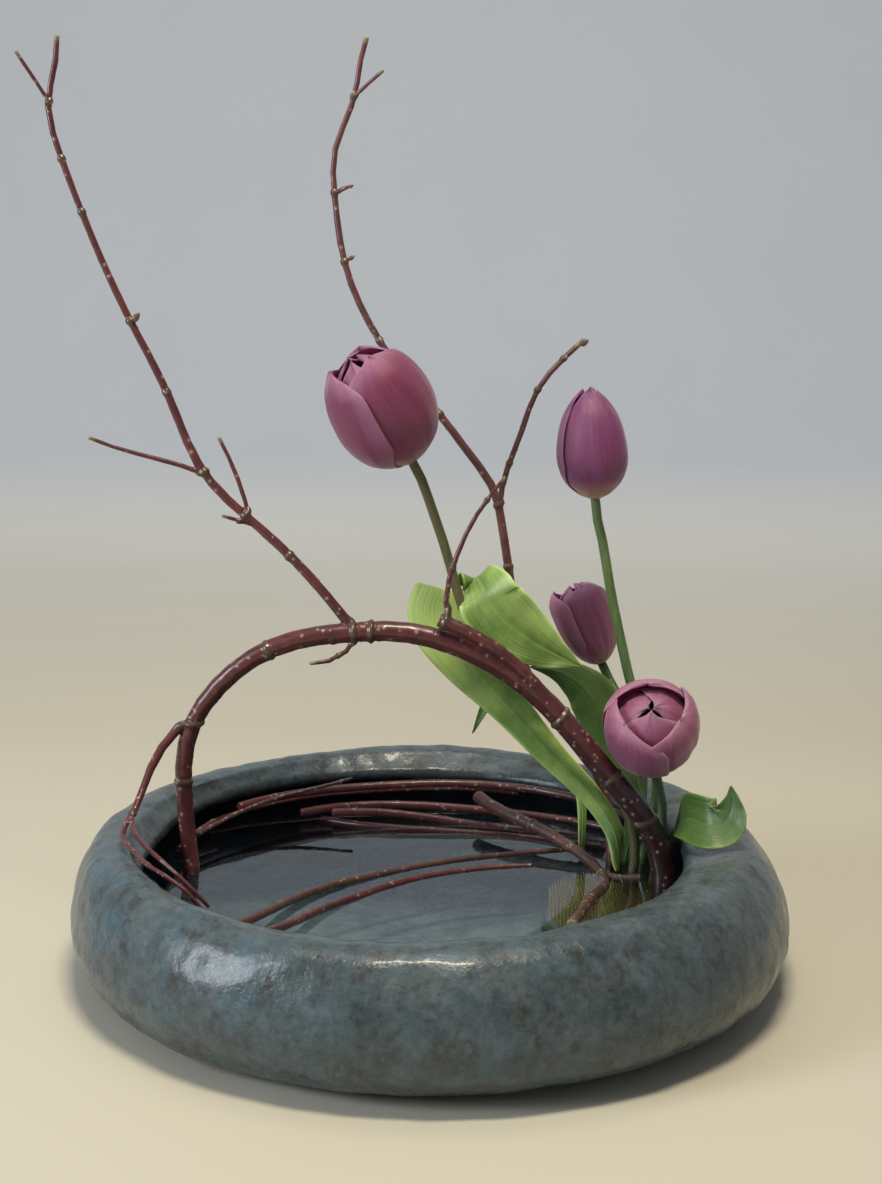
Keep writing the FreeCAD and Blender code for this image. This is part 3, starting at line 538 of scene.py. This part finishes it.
def living_copy(node, piece_name, voxel, rounds):
    """A finely re-meshed and softened copy of a CAD node."""
    copy = link(bpy.data.objects.new(piece_name, NODES[node].data.copy()))
    remesh = copy.modifiers.new("Remesh", "REMESH")
    remesh.mode = "VOXEL"
    remesh.voxel_size = voxel
    soften = copy.modifiers.new("Soften", "SMOOTH")
    soften.factor = 0.5
    soften.iterations = rounds
    bpy.context.view_layer.update()
    evaluated = copy.evaluated_get(bpy.context.evaluated_depsgraph_get())
    copy_mesh = bpy.data.meshes.new_from_object(evaluated)
    copy.modifiers.clear()
    copy.data = copy_mesh
    copy_mesh.polygons.foreach_set("use_smooth", [True] * len(copy_mesh.polygons))
    return copy


KNOT_REACH = 0.011  # a knot marks nothing further from its place than this
KNOT_RING = 0.0016
KNOT_GROOVE = 0.0007
GROOVE_ABOVE_RING = 0.0022
PORE_REACH = 0.0022
PORE_HEIGHT = 0.00022
CUT_FADE = 0.0028


def grow_bark(wood, knots, pores, lump, cut_ends=()):
    """Adds lumps, joint rings and raised pores to a limb, and marks them for its material.
    A knot is (place, direction of the limb, swelling), all in millimetres."""
    points = coordinates(wood)
    out = normals(wood)
    push = np.zeros(len(points))
    joint = np.zeros(len(points))
    pore = np.zeros(len(points))
    cut = np.zeros(len(points))
    if lump:
        slow = np.array([wobble(*p, 55) for p in points])
        quick = np.array([wobble(*p, 210) for p in points])
        push += lump * (0.7 * slow + 0.4 * quick)
    for place, direction, swelling in knots:
        centre = np.array(place) * MM
        axis = np.array(direction, float)
        axis /= np.linalg.norm(axis)
        away = points - centre
        along = away @ axis
        near = np.linalg.norm(away, axis=1) < KNOT_REACH
        ring = np.exp(-(along / KNOT_RING) ** 2) * near
        groove = np.exp(-((along - GROOVE_ABOVE_RING) / KNOT_GROOVE) ** 2) * near
        push += swelling * MM * (ring - 0.35 * groove)
        joint = np.maximum(joint, ring * 0.8)
    chosen = np.random.default_rng(11).choice(len(points), min(pores, len(points)), replace=False)
    for index in chosen:
        away = np.linalg.norm(points - points[index], axis=1)
        close = away < PORE_REACH
        size = 0.00045 + 0.0004 * random.random()
        spot = np.exp(-(away[close] / size) ** 2)
        push[close] += PORE_HEIGHT * spot
        pore[close] = np.maximum(pore[close], spot * 0.9)
    for place in cut_ends:
        away = np.linalg.norm(points - np.array(place) * MM, axis=1)
        cut = np.maximum(cut, np.clip(1.6 - away / CUT_FADE, 0, 1))
    set_coordinates(wood, points + out * push[:, None])
    paint(wood, "joint", joint)
    paint(wood, "pore", pore)
    paint(wood, "cut", cut)
    return wood


BUD_TIP = 0.00002


def bud(name, place, direction, length, width, material, body, slot):
    """A pointed bud with two overlapping scales, its foot sunk in the twig.  Sizes in millimetres."""
    axis = Vector(direction).normalized()
    turn = Vector((0, 0, 1)).rotation_difference(axis).to_matrix()
    rows, columns = 14, 18
    vertices = []
    for row in range(rows):
        t = row / (rows - 1)
        for column in range(columns):
            angle = 2 * math.pi * column / columns
            scale_edge = 1 + 0.14 * (math.cos(2 * angle) > 0) * (t < 0.7)
            radius = width * math.sin(math.pi * min(1.0, 0.16 + 0.84 * t) ** 0.8) ** 0.8 * scale_edge
            radius = radius if row < rows - 1 else BUD_TIP
            local = Vector((radius * math.cos(angle), radius * math.sin(angle), length * t))
            vertices.append(Vector(place) * MM + turn @ (local * MM))
    faces = [(row * columns + column, row * columns + (column + 1) % columns,
              (row + 1) * columns + (column + 1) % columns, (row + 1) * columns + column)
             for row in range(rows - 1) for column in range(columns)]
    faces.append(tuple(range(columns))[::-1])
    faces.append(tuple((rows - 1) * columns + column for column in range(columns)))
    scale = mesh_object(name, vertices, faces)
    for attribute in ("joint", "pore", "cut"):
        paint(scale, attribute, [0.35 if attribute == "cut" else 0.0] * len(vertices))
    return finish_piece(scale, material, body, slot)


ARCH_KNOTS = [
    ((-202, 26, 442), (-0.35, 0, 1), 0.7), ((-191, 26, 414), (-0.4, 0, 1), 0.7),
    ((-165, 24, 356), (-0.45, 0, 1), 0.9), ((-146, 22, 317), (-0.4, 0, 1), 0.5),
    ((-126, 20, 273), (-0.6, 0, 1), 0.9), ((-103, 19, 249), (-0.8, 0, 0.7), 0.9),
    ((-78, 18, 227), (-0.8, 0, 0.7), 0.6), ((-208, 28, 472), (-0.2, 0, 1), 0.8),
    ((-42, 16, 187), (1, 0, 0.1), 1.3), ((-32, 15.5, 185), (1, 0, 0), 1.1),
    ((-134, 18, 130), (0, 0, 1), 1.0), ((-139, 18, 96), (0, 0, 1), 0.7),
    ((75, 8, 138), (-1, 0, 0.9), 0.9), ((10, 10, 194), (-1, 0, 0.4), 1.0),
    ((13, 11, 222), (0.2, 0, 1), 0.6), ((32, 14, 260), (0.6, 0, 1), 0.6),
    ((-163, -14, 86), (-0.3, -0.7, -0.6), 0.8), ((104, 5, 104), (-1, 0, 1.1), 0.7),
    ((-90, 18, 173), (1, 0, 0.5), 0.7), ((-50, 10, 171), (-0.8, 0, -0.4), 0.5),
    ((125, 3, 80), (-0.4, 0, 1), 0.6),
]
BACK_KNOTS = [
    ((-46, 91, 484), (0.3, 0, 1), 0.7), ((-57, 89, 430), (0, 0, 1), 0.8),
    ((-50, 88, 391), (-0.3, 0, 1), 0.8), ((-31, 85, 345), (-0.7, 0, 1), 0.6),
    ((5, 78, 303), (-0.7, 0, 1), 0.6), ((41, 71, 251), (-0.4, 0, 1), 0.9),
    ((61, 52, 319), (0.4, 0, 1), 0.7), ((75, 47, 337), (0.8, 0, 1), 0.5),
    ((46, 70, 214), (-0.1, 0, 1), 0.6), ((48, 67, 275), (0.4, 0, 1), 0.5),
    ((54, 68, 165), (0, 0, 1), 0.6),
]
ARCH_CUTS = [(-203, 31, 507), (-224, 24, 498), (-186, 5, 293), (-118, 27, 292), (-115, 12, 250),
             (-66, 6, 168), (6, 10, 193), (42, 15, 273)]
BACK_CUTS = [(-39, 92, 517), (-29, 84, 498), (84, 42, 346)]
FORK_KNOTS = [
    ((101, 14, 43.5), (0.3, -1, 0), 1.4), ((64, 66, 56), (0.6, -0.8, 0), 0.9),
    ((90, -40, 49), (-0.2, -1, 0.1), 0.8), ((84, 40, 51), (0.5, -0.8, -0.2), 0.5),
]
FORK_CUTS = [(32, 108, 61), (75, -100, 57)]

TWIGS = {
    "ring_twig_1": BARK, "ring_twig_2": BARK, "ring_twig_3": BARK, "ring_twig_4": BARK,
    "ring_twig_5": BARK_BROWN, "ring_twig_6": BARK, "ring_twig_7": BARK, "front_twig_1": BARK_BROWN,
    "front_twig_2": BARK,
}


def make_wood():
    """Bark over every branch and twig, with a few buds."""
    arch = living_copy("arch_branch", "arch_bark", 0.00052, 5)
    grow_bark(arch, ARCH_KNOTS, 420, 0.00028, ARCH_CUTS)
    finish_piece(arch, BARK, "arch_branch", "bark", "arch_branch")
    back = living_copy("back_branch", "back_bark", 0.00042, 4)
    grow_bark(back, BACK_KNOTS, 130, 0.00016, BACK_CUTS)
    finish_piece(back, BARK_BACK, "back_branch", "bark", "back_branch")
    fork = living_copy("forked_branch", "fork_bark", 0.00050, 5)
    grow_bark(fork, FORK_KNOTS, 90, 0.00024, FORK_CUTS)
    finish_piece(fork, BARK_BROWN, "frog", "bark_brown", "forked_branch")
    for node, bark in TWIGS.items():
        twig = living_copy(node, node + "_bark", 0.00046, 4)
        grow_bark(twig, [], 40, 0.00018)
        slot = "bark_brown" if bark is BARK_BROWN else "bark"
        finish_piece(twig, bark, "bowl", slot, node)
    bud("arch_bud_1", (-163.5, 22.5, 356), (0.8, -0.2, 0.9), 6.0, 1.7, BARK, "arch_branch", "bark")
    bud("arch_bud_2", (-128.0, 20.0, 274), (-0.5, 0.0, 1.0), 4.5, 1.2, BARK, "arch_branch", "bark")
    bud("back_bud_1", (-49.0, 88.0, 392), (0.9, -0.2, 0.5), 4.5, 1.2, BARK_BACK, "back_branch", "bark")
    bud("back_bud_2", (84.0, 42.0, 345.5), (0.8, -0.4, 0.4), 5.5, 1.9, BARK_BACK, "back_branch", "bark")
    bud("back_bud_3", (-49.0, 85.0, 433), (1.0, -0.2, 0.3), 3.5, 1.0, BARK_BACK, "back_branch", "bark")


# ---------------------------------------------------------------------------------------------
# Sheets: petals and leaves
# ---------------------------------------------------------------------------------------------

def sheet(name, grid, thickness, seed=0.0, painted_sunlight=None):
    """A closed thin sheet round a grid of points, thinner at its edges."""
    grid = np.asarray(grid, float)
    rows, columns, _ = grid.shape
    down = np.gradient(grid, axis=0)
    over = np.gradient(grid, axis=1)
    face = np.cross(down, over)
    length = np.linalg.norm(face, axis=2, keepdims=True)
    face = face / np.maximum(length, 1e-12)
    across = np.tile(np.linspace(-1, 1, columns), (rows, 1))
    along = np.tile(np.linspace(0, 1, rows)[:, None], (1, columns))
    taper = 1 - 0.65 * np.maximum(np.abs(across), np.clip((along - 0.8) / 0.2, 0, 1)) ** 6
    half = face * (thickness / 2 * taper)[:, :, None]
    vertices = np.concatenate([(grid + half).reshape(-1, 3), (grid - half).reshape(-1, 3)])
    count = rows * columns
    faces = []
    for row in range(rows - 1):
        for column in range(columns - 1):
            a = row * columns + column
            faces.append((a, a + columns, a + columns + 1, a + 1))
            faces.append((count + a, count + a + 1, count + a + columns + 1, count + a + columns))
    rim = list(range(columns))
    rim += [r * columns + columns - 1 for r in range(1, rows)]
    rim += [(rows - 1) * columns + c for c in range(columns - 2, -1, -1)]
    rim += [r * columns for r in range(rows - 2, 0, -1)]
    for index, here in enumerate(rim):
        there = rim[(index + 1) % len(rim)]
        faces.append((here, there, count + there, count + here))
    obj = mesh_object(name, vertices, faces)
    shape = bmesh.new()
    shape.from_mesh(obj.data)
    bmesh.ops.recalc_face_normals(shape, faces=shape.faces)
    shape.to_mesh(obj.data)
    shape.free()
    paint(obj, "along", np.concatenate([along.ravel()] * 2))
    paint(obj, "across", np.concatenate([across.ravel()] * 2))
    paint(obj, "seed", [seed] * (2 * count))
    paint(obj, "inner_face", np.concatenate([np.zeros(count), np.ones(count)]))
    # mask of painted light, none unless given
    sunlight = np.zeros((rows, columns)) if painted_sunlight is None else np.asarray(painted_sunlight)
    paint(obj, "painted_sunlight", np.concatenate([sunlight.ravel()] * 2))
    return obj


def bloom_frame(number):
    """Foot, axis and camera-side direction of a bloom, read from its CAD pistil and stem."""
    pistil = coordinates(NODES["tulip_%d_pistil" % number])
    stem = coordinates(NODES["tulip_%d_stem" % number])
    middle = pistil.mean(axis=0)
    _, _, directions = np.linalg.svd(pistil - middle)
    axis = directions[0]
    nearest = stem[np.argmin(np.linalg.norm(stem - middle, axis=1))]
    if axis @ (middle - nearest) < 0:
        axis = -axis
    foot = middle + axis * ((pistil - middle) @ axis).min()
    front = np.array([0.0, -1.0, 0.25])
    front = front - axis * (front @ axis)
    front /= np.linalg.norm(front)
    side = np.cross(axis, front)
    return foot, axis, front, side


BLOOMS = {
    # height and radius in metres, crinkle of the lip in millimetres, then the outer and the inner ring
    # of petals.  A ring is the radius along a petal as (place, share), the turn of the ring from the
    # camera side in degrees, how far the petals lean out in metres, and their share of the height
    1: {"height": 0.072, "radius": 0.0285, "crinkle": 2.0, "rings": (
        ([(0, 0.10), (0.05, 0.42), (0.18, 0.80), (0.38, 1.0), (0.60, 1.0),
          (0.80, 0.86), (0.92, 0.66), (1.0, 0.48)], 28, 0.0006, 1.0),
        ([(0, 0.10), (0.05, 0.42), (0.18, 0.80), (0.38, 1.0), (0.60, 0.95),
          (0.80, 0.70), (0.92, 0.38), (1.0, 0.12)], 88, 0.0, 0.96))},
    2: {"height": 0.0645, "radius": 0.0200, "crinkle": 0.3, "rings": (
        ([(0, 0.12), (0.05, 0.45), (0.16, 0.80), (0.34, 1.0), (0.55, 0.97),
          (0.75, 0.80), (0.90, 0.52), (1.0, 0.24)], -14, 0.0, 1.0),
        ([(0, 0.12), (0.05, 0.45), (0.16, 0.80), (0.34, 1.0), (0.55, 0.96),
          (0.75, 0.76), (0.90, 0.40), (1.0, 0.07)], 46, 0.0, 0.985))},
    3: {"height": 0.0520, "radius": 0.0175, "crinkle": 0.5, "rings": (
        ([(0, 0.12), (0.06, 0.42), (0.20, 0.74), (0.42, 0.94), (0.65, 1.0),
          (0.84, 0.97), (0.95, 0.80), (1.0, 0.62)], 20, 0.0004, 1.0),
        ([(0, 0.12), (0.06, 0.42), (0.20, 0.74), (0.42, 0.94), (0.65, 0.98),
          (0.84, 0.78), (0.95, 0.42), (1.0, 0.12)], 80, 0.0, 0.98))},
    4: {"height": 0.0465, "radius": 0.0260, "crinkle": 1.2, "rings": (
        ([(0, 0.10), (0.05, 0.45), (0.16, 0.80), (0.36, 0.98), (0.60, 1.0),
          (0.80, 0.94), (0.93, 0.78), (1.0, 0.62)], 172, 0.0010, 1.0),
        ([(0, 0.10), (0.05, 0.45), (0.16, 0.82), (0.36, 1.0), (0.60, 0.94),
          (0.80, 0.66), (0.93, 0.32), (1.0, 0.07)], -12, 0.0, 1.0))},
}


PETAL_THICKNESS = 0.0006
PETAL_HALF_SWEEP = math.radians(75)
RING_GAP = 0.0021
LEAF_THICKNESS = 0.0009


def petal_grid(number, angle, ring, length, lean, profile, seed):
    """Points of one petal: a broad spoon wrapped round the bloom's axis, with a mid crease, fine ribs,
    a spiral overlap and a crinkled lip."""
    foot, axis, front, side = bloom_frame(number)
    bloom = BLOOMS[number]
    rows, columns = 58, 44
    height = bloom["height"] * length
    shrink = ring * RING_GAP
    grid = np.zeros((rows, columns, 3))
    for row in range(rows):
        t = row / (rows - 1)
        radius = (bloom["radius"] - shrink) * value_smooth(profile, t)
        rounded = 1 - max(0.0, (t - 0.70) / 0.30) ** 3.2
        widening = 0.62 + 0.38 * min(1.0, t / 0.3)
        half_angle = PETAL_HALF_SWEEP * widening * math.sqrt(max(rounded, 0.0)) + 0.02
        for column in range(columns):
            v = 2 * column / (columns - 1) - 1
            notch = 0.02 * math.exp(-(v / 0.16) ** 2)
            edge = abs(v)
            turn = math.radians(angle) + v * half_angle
            crease = -0.0006 * math.exp(-(v / 0.09) ** 2) * math.sin(math.pi * min(1, t * 1.05))
            ribs = 0.00013 * math.sin(v * 22 + seed) * math.sin(math.pi * t)
            spiral = 0.0013 * v * math.sin(math.pi * min(1.0, t * 0.9))
            crinkle = bloom["crinkle"] * MM * (0.25 + 0.75 * edge ** 2) * max(0.0, t - 0.35) * 1.5
            wave = crinkle * (noise.noise(Vector((v * 2.6, t * 3.2, seed)))
                              + 0.5 * noise.noise(Vector((v * 6, t * 7, seed + 9))))
            reach = max(radius + crease + ribs + spiral + wave + lean * max(0.0, t - 0.1) ** 1.5, 0.0006)
            rise = height * (t - notch * max(0.0, t - 0.8) / 0.2 - 0.05 * edge ** 2 * t ** 4) - 0.0008
            lip = noise.noise(Vector((v * 3.5, 4.0, seed))) * max(0, t - 0.7) / 0.3
            rise += 0.5 * MM * bloom["crinkle"] * lip
            grid[row, column] = (foot + axis * rise
                                 + (front * math.cos(turn) + side * math.sin(turn)) * reach)
    return grid


def value_smooth(points, t):
    """Smooth value of (position, value) pairs."""
    positions = [p for p, _ in points]
    index = min(max(0, np.searchsorted(positions, t, side="right") - 1), len(points) - 2)
    p0 = points[max(0, index - 1)]
    p1, p2 = points[index], points[index + 1]
    p3 = points[min(len(points) - 1, index + 2)]
    span = p2[0] - p1[0]
    s = (t - p1[0]) / span
    m1 = (p2[1] - p0[1]) / max(p2[0] - p0[0], 1e-9) * span
    m2 = (p3[1] - p1[1]) / max(p3[0] - p1[0], 1e-9) * span
    return ((2 * s ** 3 - 3 * s ** 2 + 1) * p1[1] + (s ** 3 - 2 * s ** 2 + s) * m1
            + (-2 * s ** 3 + 3 * s ** 2) * p2[1] + (s ** 3 - s ** 2) * m2)


def joined(name, parts):
    """One object from several, keeping their painted values."""
    bpy.ops.object.select_all(action="DESELECT")
    for part in parts:
        part.select_set(True)
    bpy.context.view_layer.objects.active = parts[0]
    bpy.ops.object.join()
    parts[0].name = name
    return parts[0]


def make_tulips():
    """Petals, stalk, seed capsule and stamens of every tulip."""
    for number, bloom in BLOOMS.items():
        body = "tulip_%d" % number
        for ring, kind in ((0, "outer"), (1, "inner")):
            petals = []
            for index in range(3):
                seed = number * 10 + ring * 5 + index * 1.7
                profile, turn, lean, length = bloom["rings"][ring]
                length *= 1.0 + 0.03 * math.sin(seed * 3.1)
                grid = petal_grid(number, turn + 120 * index, ring, length, lean, profile, seed)
                petals.append(sheet("petal_%d_%s_%d" % (number, kind, index), grid, PETAL_THICKNESS, seed))
            whorl = joined("tulip_%d_%s_whorl" % (number, kind), petals)
            finish_piece(whorl, TULIP_PETALS[number], body, "petal", "tulip_%d_%s_petals" % (number, kind))
        stem = living_copy("tulip_%d_stem" % number, "tulip_%d_stalk" % number, 0.00048, 4)
        grow_bark(stem, [], 0, 0.00010)
        finish_piece(stem, STEMS[number], body, "stem", "tulip_%d_stem" % number)
        pistil = living_copy("tulip_%d_pistil" % number, "tulip_%d_capsule" % number, 0.00025, 2)
        three_lobed(pistil, number)
        finish_piece(pistil, CAPSULE, body, "stem", "tulip_%d_pistil" % number)
        stamens = living_copy("tulip_%d_stamens" % number, "tulip_%d_anthers" % number, 0.00022, 2)
        grow_bark(stamens, [], 0, 0.00008)
        finish_piece(stamens, POLLEN, body, "pollen", "tulip_%d_stamens" % number)


def three_lobed(pistil, number):
    """Turns the round capsule into the three-sided one of a tulip."""
    foot, axis, front, side = bloom_frame(number)
    points = coordinates(pistil)
    away = points - foot
    along = away @ axis
    flat = away - np.outer(along, axis)
    turn = np.arctan2(flat @ side, flat @ front)
    flat *= (1 + 0.16 * np.cos(3 * turn) * (1 + 0.8 * (along > 0.0145)))[:, None]
    set_coordinates(pistil, foot + np.outer(along, axis) + flat)


# Leaf blades as stations: centre (mm), direction across, half width (mm), depth of the cup (mm)
LEAF_1_RISING = [
    ((111, 17, 45), (0.3, 1, 0.2), 3, 0.6), ((109, 24, 66), (0.7, 0.3, 0.7), 5.5, 1.5),
    ((95, 34, 86), (0.7, 0.3, 0.7), 6.5, 2), ((71, 42, 109), (0.7, 0.2, 0.7), 8.5, 2.5),
    ((47, 49, 135), (0.7, 0.1, 0.7), 11.5, 3), ((24, 55, 160), (0.8, 0.1, 0.6), 16.5, 3),
    ((9, 58, 184), (1, 0, 0.3), 21, 3), ((12, 58.5, 202), (1, 0, 0.25), 20, 2),
]


def blade_grid(stations, rows, columns, ripple, seed):
    """Points of a leaf blade through its stations, cupped across and rippled at its edges."""
    packed = np.array([[*c, *np.array(a, float) / np.linalg.norm(a), w, d] for c, a, w, d in stations], float)
    line = smooth_through(packed, rows)
    centres = line[:, :3] * MM
    along = np.gradient(centres, axis=0)
    along /= np.linalg.norm(along, axis=1, keepdims=True)
    across = line[:, 3:6]
    across = across - along * np.sum(across * along, axis=1, keepdims=True)
    across /= np.linalg.norm(across, axis=1, keepdims=True)
    face = np.cross(along, across)
    grid = np.zeros((rows, columns, 3))
    for row in range(rows):
        half = max(line[row, 6], 0.15) * MM
        cup = line[row, 7] * MM
        for column in range(columns):
            v = 2 * column / (columns - 1) - 1
            bend = cup * (v * v - 0.35) - 0.00035 * math.exp(-(v / 0.08) ** 2)
            wave = ripple * MM * v * v * noise.noise(Vector((row * 0.11, v * 1.3, seed)))
            ribs = 0.00006 * math.sin(v * 30)
            grid[row, column] = centres[row] + across[row] * (half * v) + face[row] * (bend + wave + ribs)
    return grid


LEAF_1_FALLING = [
    ((22, 59, 203), (0.9, 0, 0.4), 9, 0.5), ((28, 55, 210), (0.9, -0.1, 0.4), 11, 1),
    ((33, 44, 204), (0.75, 0, 0.65), 16.5, 2), ((37, 40, 196), (0.7, 0, 0.72), 19, 3),
    ((48, 38, 185), (0.7, 0, 0.72), 19, 3), ((64, 37, 174), (0.65, 0, 0.75), 13.5, 2.5),
    ((77, 37, 167), (0.6, 0, 0.8), 7, 1.5), ((89, 37, 161), (0.5, 0, 1), 0.6, 0.2),
]
LEAF_2 = [
    ((116, 35, 42), (1, 0.2, 0), 3, 0.5), ((122, 43, 70), (1, 0.2, 0.2), 5.5, 1.2),
    ((114, 47, 96), (1, 0.1, 0.4), 10, 2), ((104, 51, 121), (1, 0, 0.4), 12.5, 3),
    ((97, 53, 139), (0.8, 0, 0.7), 14, 3), ((87, 54, 149), (0.4, 0, 1), 10.5, 2.5),
    ((75, 54, 155), (0.1, 0, 1), 6, 1.5), ((60, 54, 157), (0.0, 0, 1), 0.5, 0.1),
]
LEAF_3 = [
    ((92, 42, 42), (1, 0.5, 0), 1.8, 0.3), ((92, 62, 80), (1, 0.5, 0.6), 3.4, 0.6),
    ((76, 70, 101), (1, 0.3, 0.8), 4.4, 0.8), ((54, 76, 122), (1, 0.3, 0.8), 4.4, 0.8),
    ((43, 80, 132), (0.5, 0, 1), 4.0, 0.8), ((36, 80, 129), (1, 0, -0.8), 3.6, 0.5),
    ((27, 78, 110), (1, 0, -0.4), 0.4, 0.1),
]
LEAF_4 = [
    ((139, 13, 40), (0.3, 1, 0), 3, 0.3), ((141, 13.5, 58), (0.3, 1, 0), 3.5, 0.6),
    ((143, 11.5, 74), (0.3, 0.8, 0.5), 7.5, 1.5), ((146, -6, 85), (0, 0.6, 0.8), 13, 2.5),
    ((153, -22, 87), (0, 0.6, 0.8), 14, 3), ((161, -27, 88), (-0.1, 0.55, 0.8), 14, 2.5),
    ((166, -26, 93), (-0.35, 0.5, 0.8), 10.5, 1.5), ((167.5, -24, 101), (-0.8, 0.3, 0.5), 4.5, 0.8),
    ((167, -22, 108), (-0.9, 0.2, 0.3), 0.4, 0.1),
]


def make_leaves():
    """The folded leaf of tulip 1 from its rising and falling blades, and one blade for each other."""
    rising = blade_grid(LEAF_1_RISING, 110, 30, 2.0, 3.1)
    falling = blade_grid(LEAF_1_FALLING, 90, 34, 2.2, 8.4)
    # painted light on leaf 1: the right margin of the falling blade and the top of the rising one are lit
    # yellow
    right_margin = np.clip((np.linspace(0, 1, 34)[None, :] - 0.55) / 0.5, 0, 1)
    sunny_fall = right_margin * np.linspace(0.1, 0.8, 90)[:, None]
    sunny_rise = np.tile(np.clip((np.linspace(0, 1, 110)[:, None] - 0.66) / 0.20, 0, 0.9), (1, 30))
    first = sheet("leaf_1_rising", rising, LEAF_THICKNESS, 0.0, sunny_rise)
    second = sheet("leaf_1_falling", falling, LEAF_THICKNESS, 0.0, sunny_fall)
    finish_piece(joined("tulip_1_blade", [first, second]), LEAF_LIT, "tulip_1", "leaf", "tulip_1_leaf")
    # leaves 2 and 4 take the darker copy, as painted shade
    others = ((2, LEAF_2, LEAF_SHADED), (3, LEAF_3, LEAF_LIT), (4, LEAF_4, LEAF_SHADED))
    for number, stations, material in others:
        grid = blade_grid(stations, 96, 28, 1.6, number * 4.3)
        blade = sheet("tulip_%d_blade" % number, grid, LEAF_THICKNESS)
        finish_piece(blade, material, "tulip_%d" % number, "leaf", "tulip_%d_leaf" % number)


# ---------------------------------------------------------------------------------------------
# Flower frog: the CAD solids themselves
# ---------------------------------------------------------------------------------------------

def dress_frog():
    """Cast, drawn and moulded finishes for the frog."""
    for node, material, slot in (("frog_base", LEAD, "lead"), ("frog_needles", BRASS, "brass"),
                                 ("frog_gasket", RUBBER, "rubber")):
        NODES[node].data.materials.clear()
        NODES[node].data.materials.append(material)


# ---------------------------------------------------------------------------------------------
# Stage, light and camera
# ---------------------------------------------------------------------------------------------

def make_stage():
    """One pale sweep: floor, curve and backdrop, the backdrop glowing more towards the back as painted light.
    """
    bend = 0.55
    start = 1.45
    reach = 4.0
    top = 3.2
    turns = [math.radians(a) for a in range(0, 91, 3)]
    rows = [(-reach, 0.0)] + [(start + bend * math.sin(a), bend * (1 - math.cos(a))) for a in turns]
    rows += [(start + bend, top)]
    vertices = [(x, y, z) for y, z in rows for x in (-reach, reach)]
    faces = [(2 * i, 2 * i + 1, 2 * i + 3, 2 * i + 2) for i in range(len(rows) - 1)]
    sweep = mesh_object("sweep", vertices, faces)
    s = Shader("paper_sweep")
    height = s.span(s.axis("Z"), 0.0, 0.12)
    colour = s.mix(height, (0.54, 0.50, 0.40), (0.34, 0.35, 0.38))
    colour = s.mix(s.math("MULTIPLY", s.noise(6, 3, 0.5), 0.10), colour, (0.70, 0.68, 0.62))
    # painted light: the sweep glows, more strongly towards the back, in place of lamp light on the backdrop
    s.set(Base_Color=colour, Roughness=0.75, Emission_Color=(0.90, 0.95, 1.0),
          Emission_Strength=s.span(s.axis("Y"), 0.5, 1.7, 0.0, 0.22))
    sweep.data.materials.append(s.material)


def area_light(name, place, target, width, height, power, colour):
    light = bpy.data.lights.new(name, "AREA")
    light.shape = "RECTANGLE"
    light.size = width
    light.size_y = height
    light.energy = power
    light.color = colour
    lamp = link(bpy.data.objects.new(name, light))
    lamp.location = place
    lamp.rotation_euler = (Vector(target) - Vector(place)).to_track_quat("-Z", "Y").to_euler()


def make_lights():
    area_light("window_left", (-1.5, -0.75, 0.80), (0, 0, 0.08), 0.5, 0.7, 19, (0.84, 0.92, 1.0))
    area_light("ceiling_front", (0.06, -0.42, 1.7), (0, 0, 0.1), 0.50, 0.20, 22, (1.0, 0.90, 0.70))
    area_light("ceiling_back", (0.0, 0.35, 2.0), (0, 0, 0.1), 1.2, 0.5, 5, (1.0, 0.96, 0.88))
    world = bpy.data.worlds.new("soft_room")
    bpy.context.scene.world = world
    world.use_nodes = True
    world.node_tree.nodes["Background"].inputs["Color"].default_value = (0.80, 0.86, 0.95, 1)
    world.node_tree.nodes["Background"].inputs["Strength"].default_value = 0.27


CAMERA_PLACE = (0.007, -0.8954, 0.3651)
CAMERA_PITCH = 9.8
CAMERA_ROLL = 0.6
CAMERA_LENS = 50.17


def make_camera():
    """Viewer's eye in front of the bowl, a little above it.  Pitch is down, in degrees."""
    camera = link(bpy.data.objects.new("camera", bpy.data.cameras.new("camera")))
    pitch, roll = math.radians(CAMERA_PITCH), math.radians(CAMERA_ROLL)
    ahead = Vector((0, math.cos(pitch), -math.sin(pitch)))
    up = Vector((0, math.sin(pitch), math.cos(pitch)))
    right = Vector((1, 0, 0))
    tilted_right = right * math.cos(roll) + up * math.sin(roll)
    tilted_up = up * math.cos(roll) - right * math.sin(roll)
    turn = Matrix((tilted_right, tilted_up, -ahead)).transposed().to_4x4()
    camera.matrix_world = Matrix.Translation(CAMERA_PLACE) @ turn
    camera.data.sensor_fit = "VERTICAL"
    camera.data.sensor_height = 36
    camera.data.lens = CAMERA_LENS
    camera.data.clip_start = 0.01
    bpy.context.scene.camera = camera


make_bowl()
make_water()
make_wood()
make_tulips()
make_leaves()
dress_frog()
make_stage()
make_lights()
make_camera()
bpy.context.scene.view_settings.view_transform = "Standard"
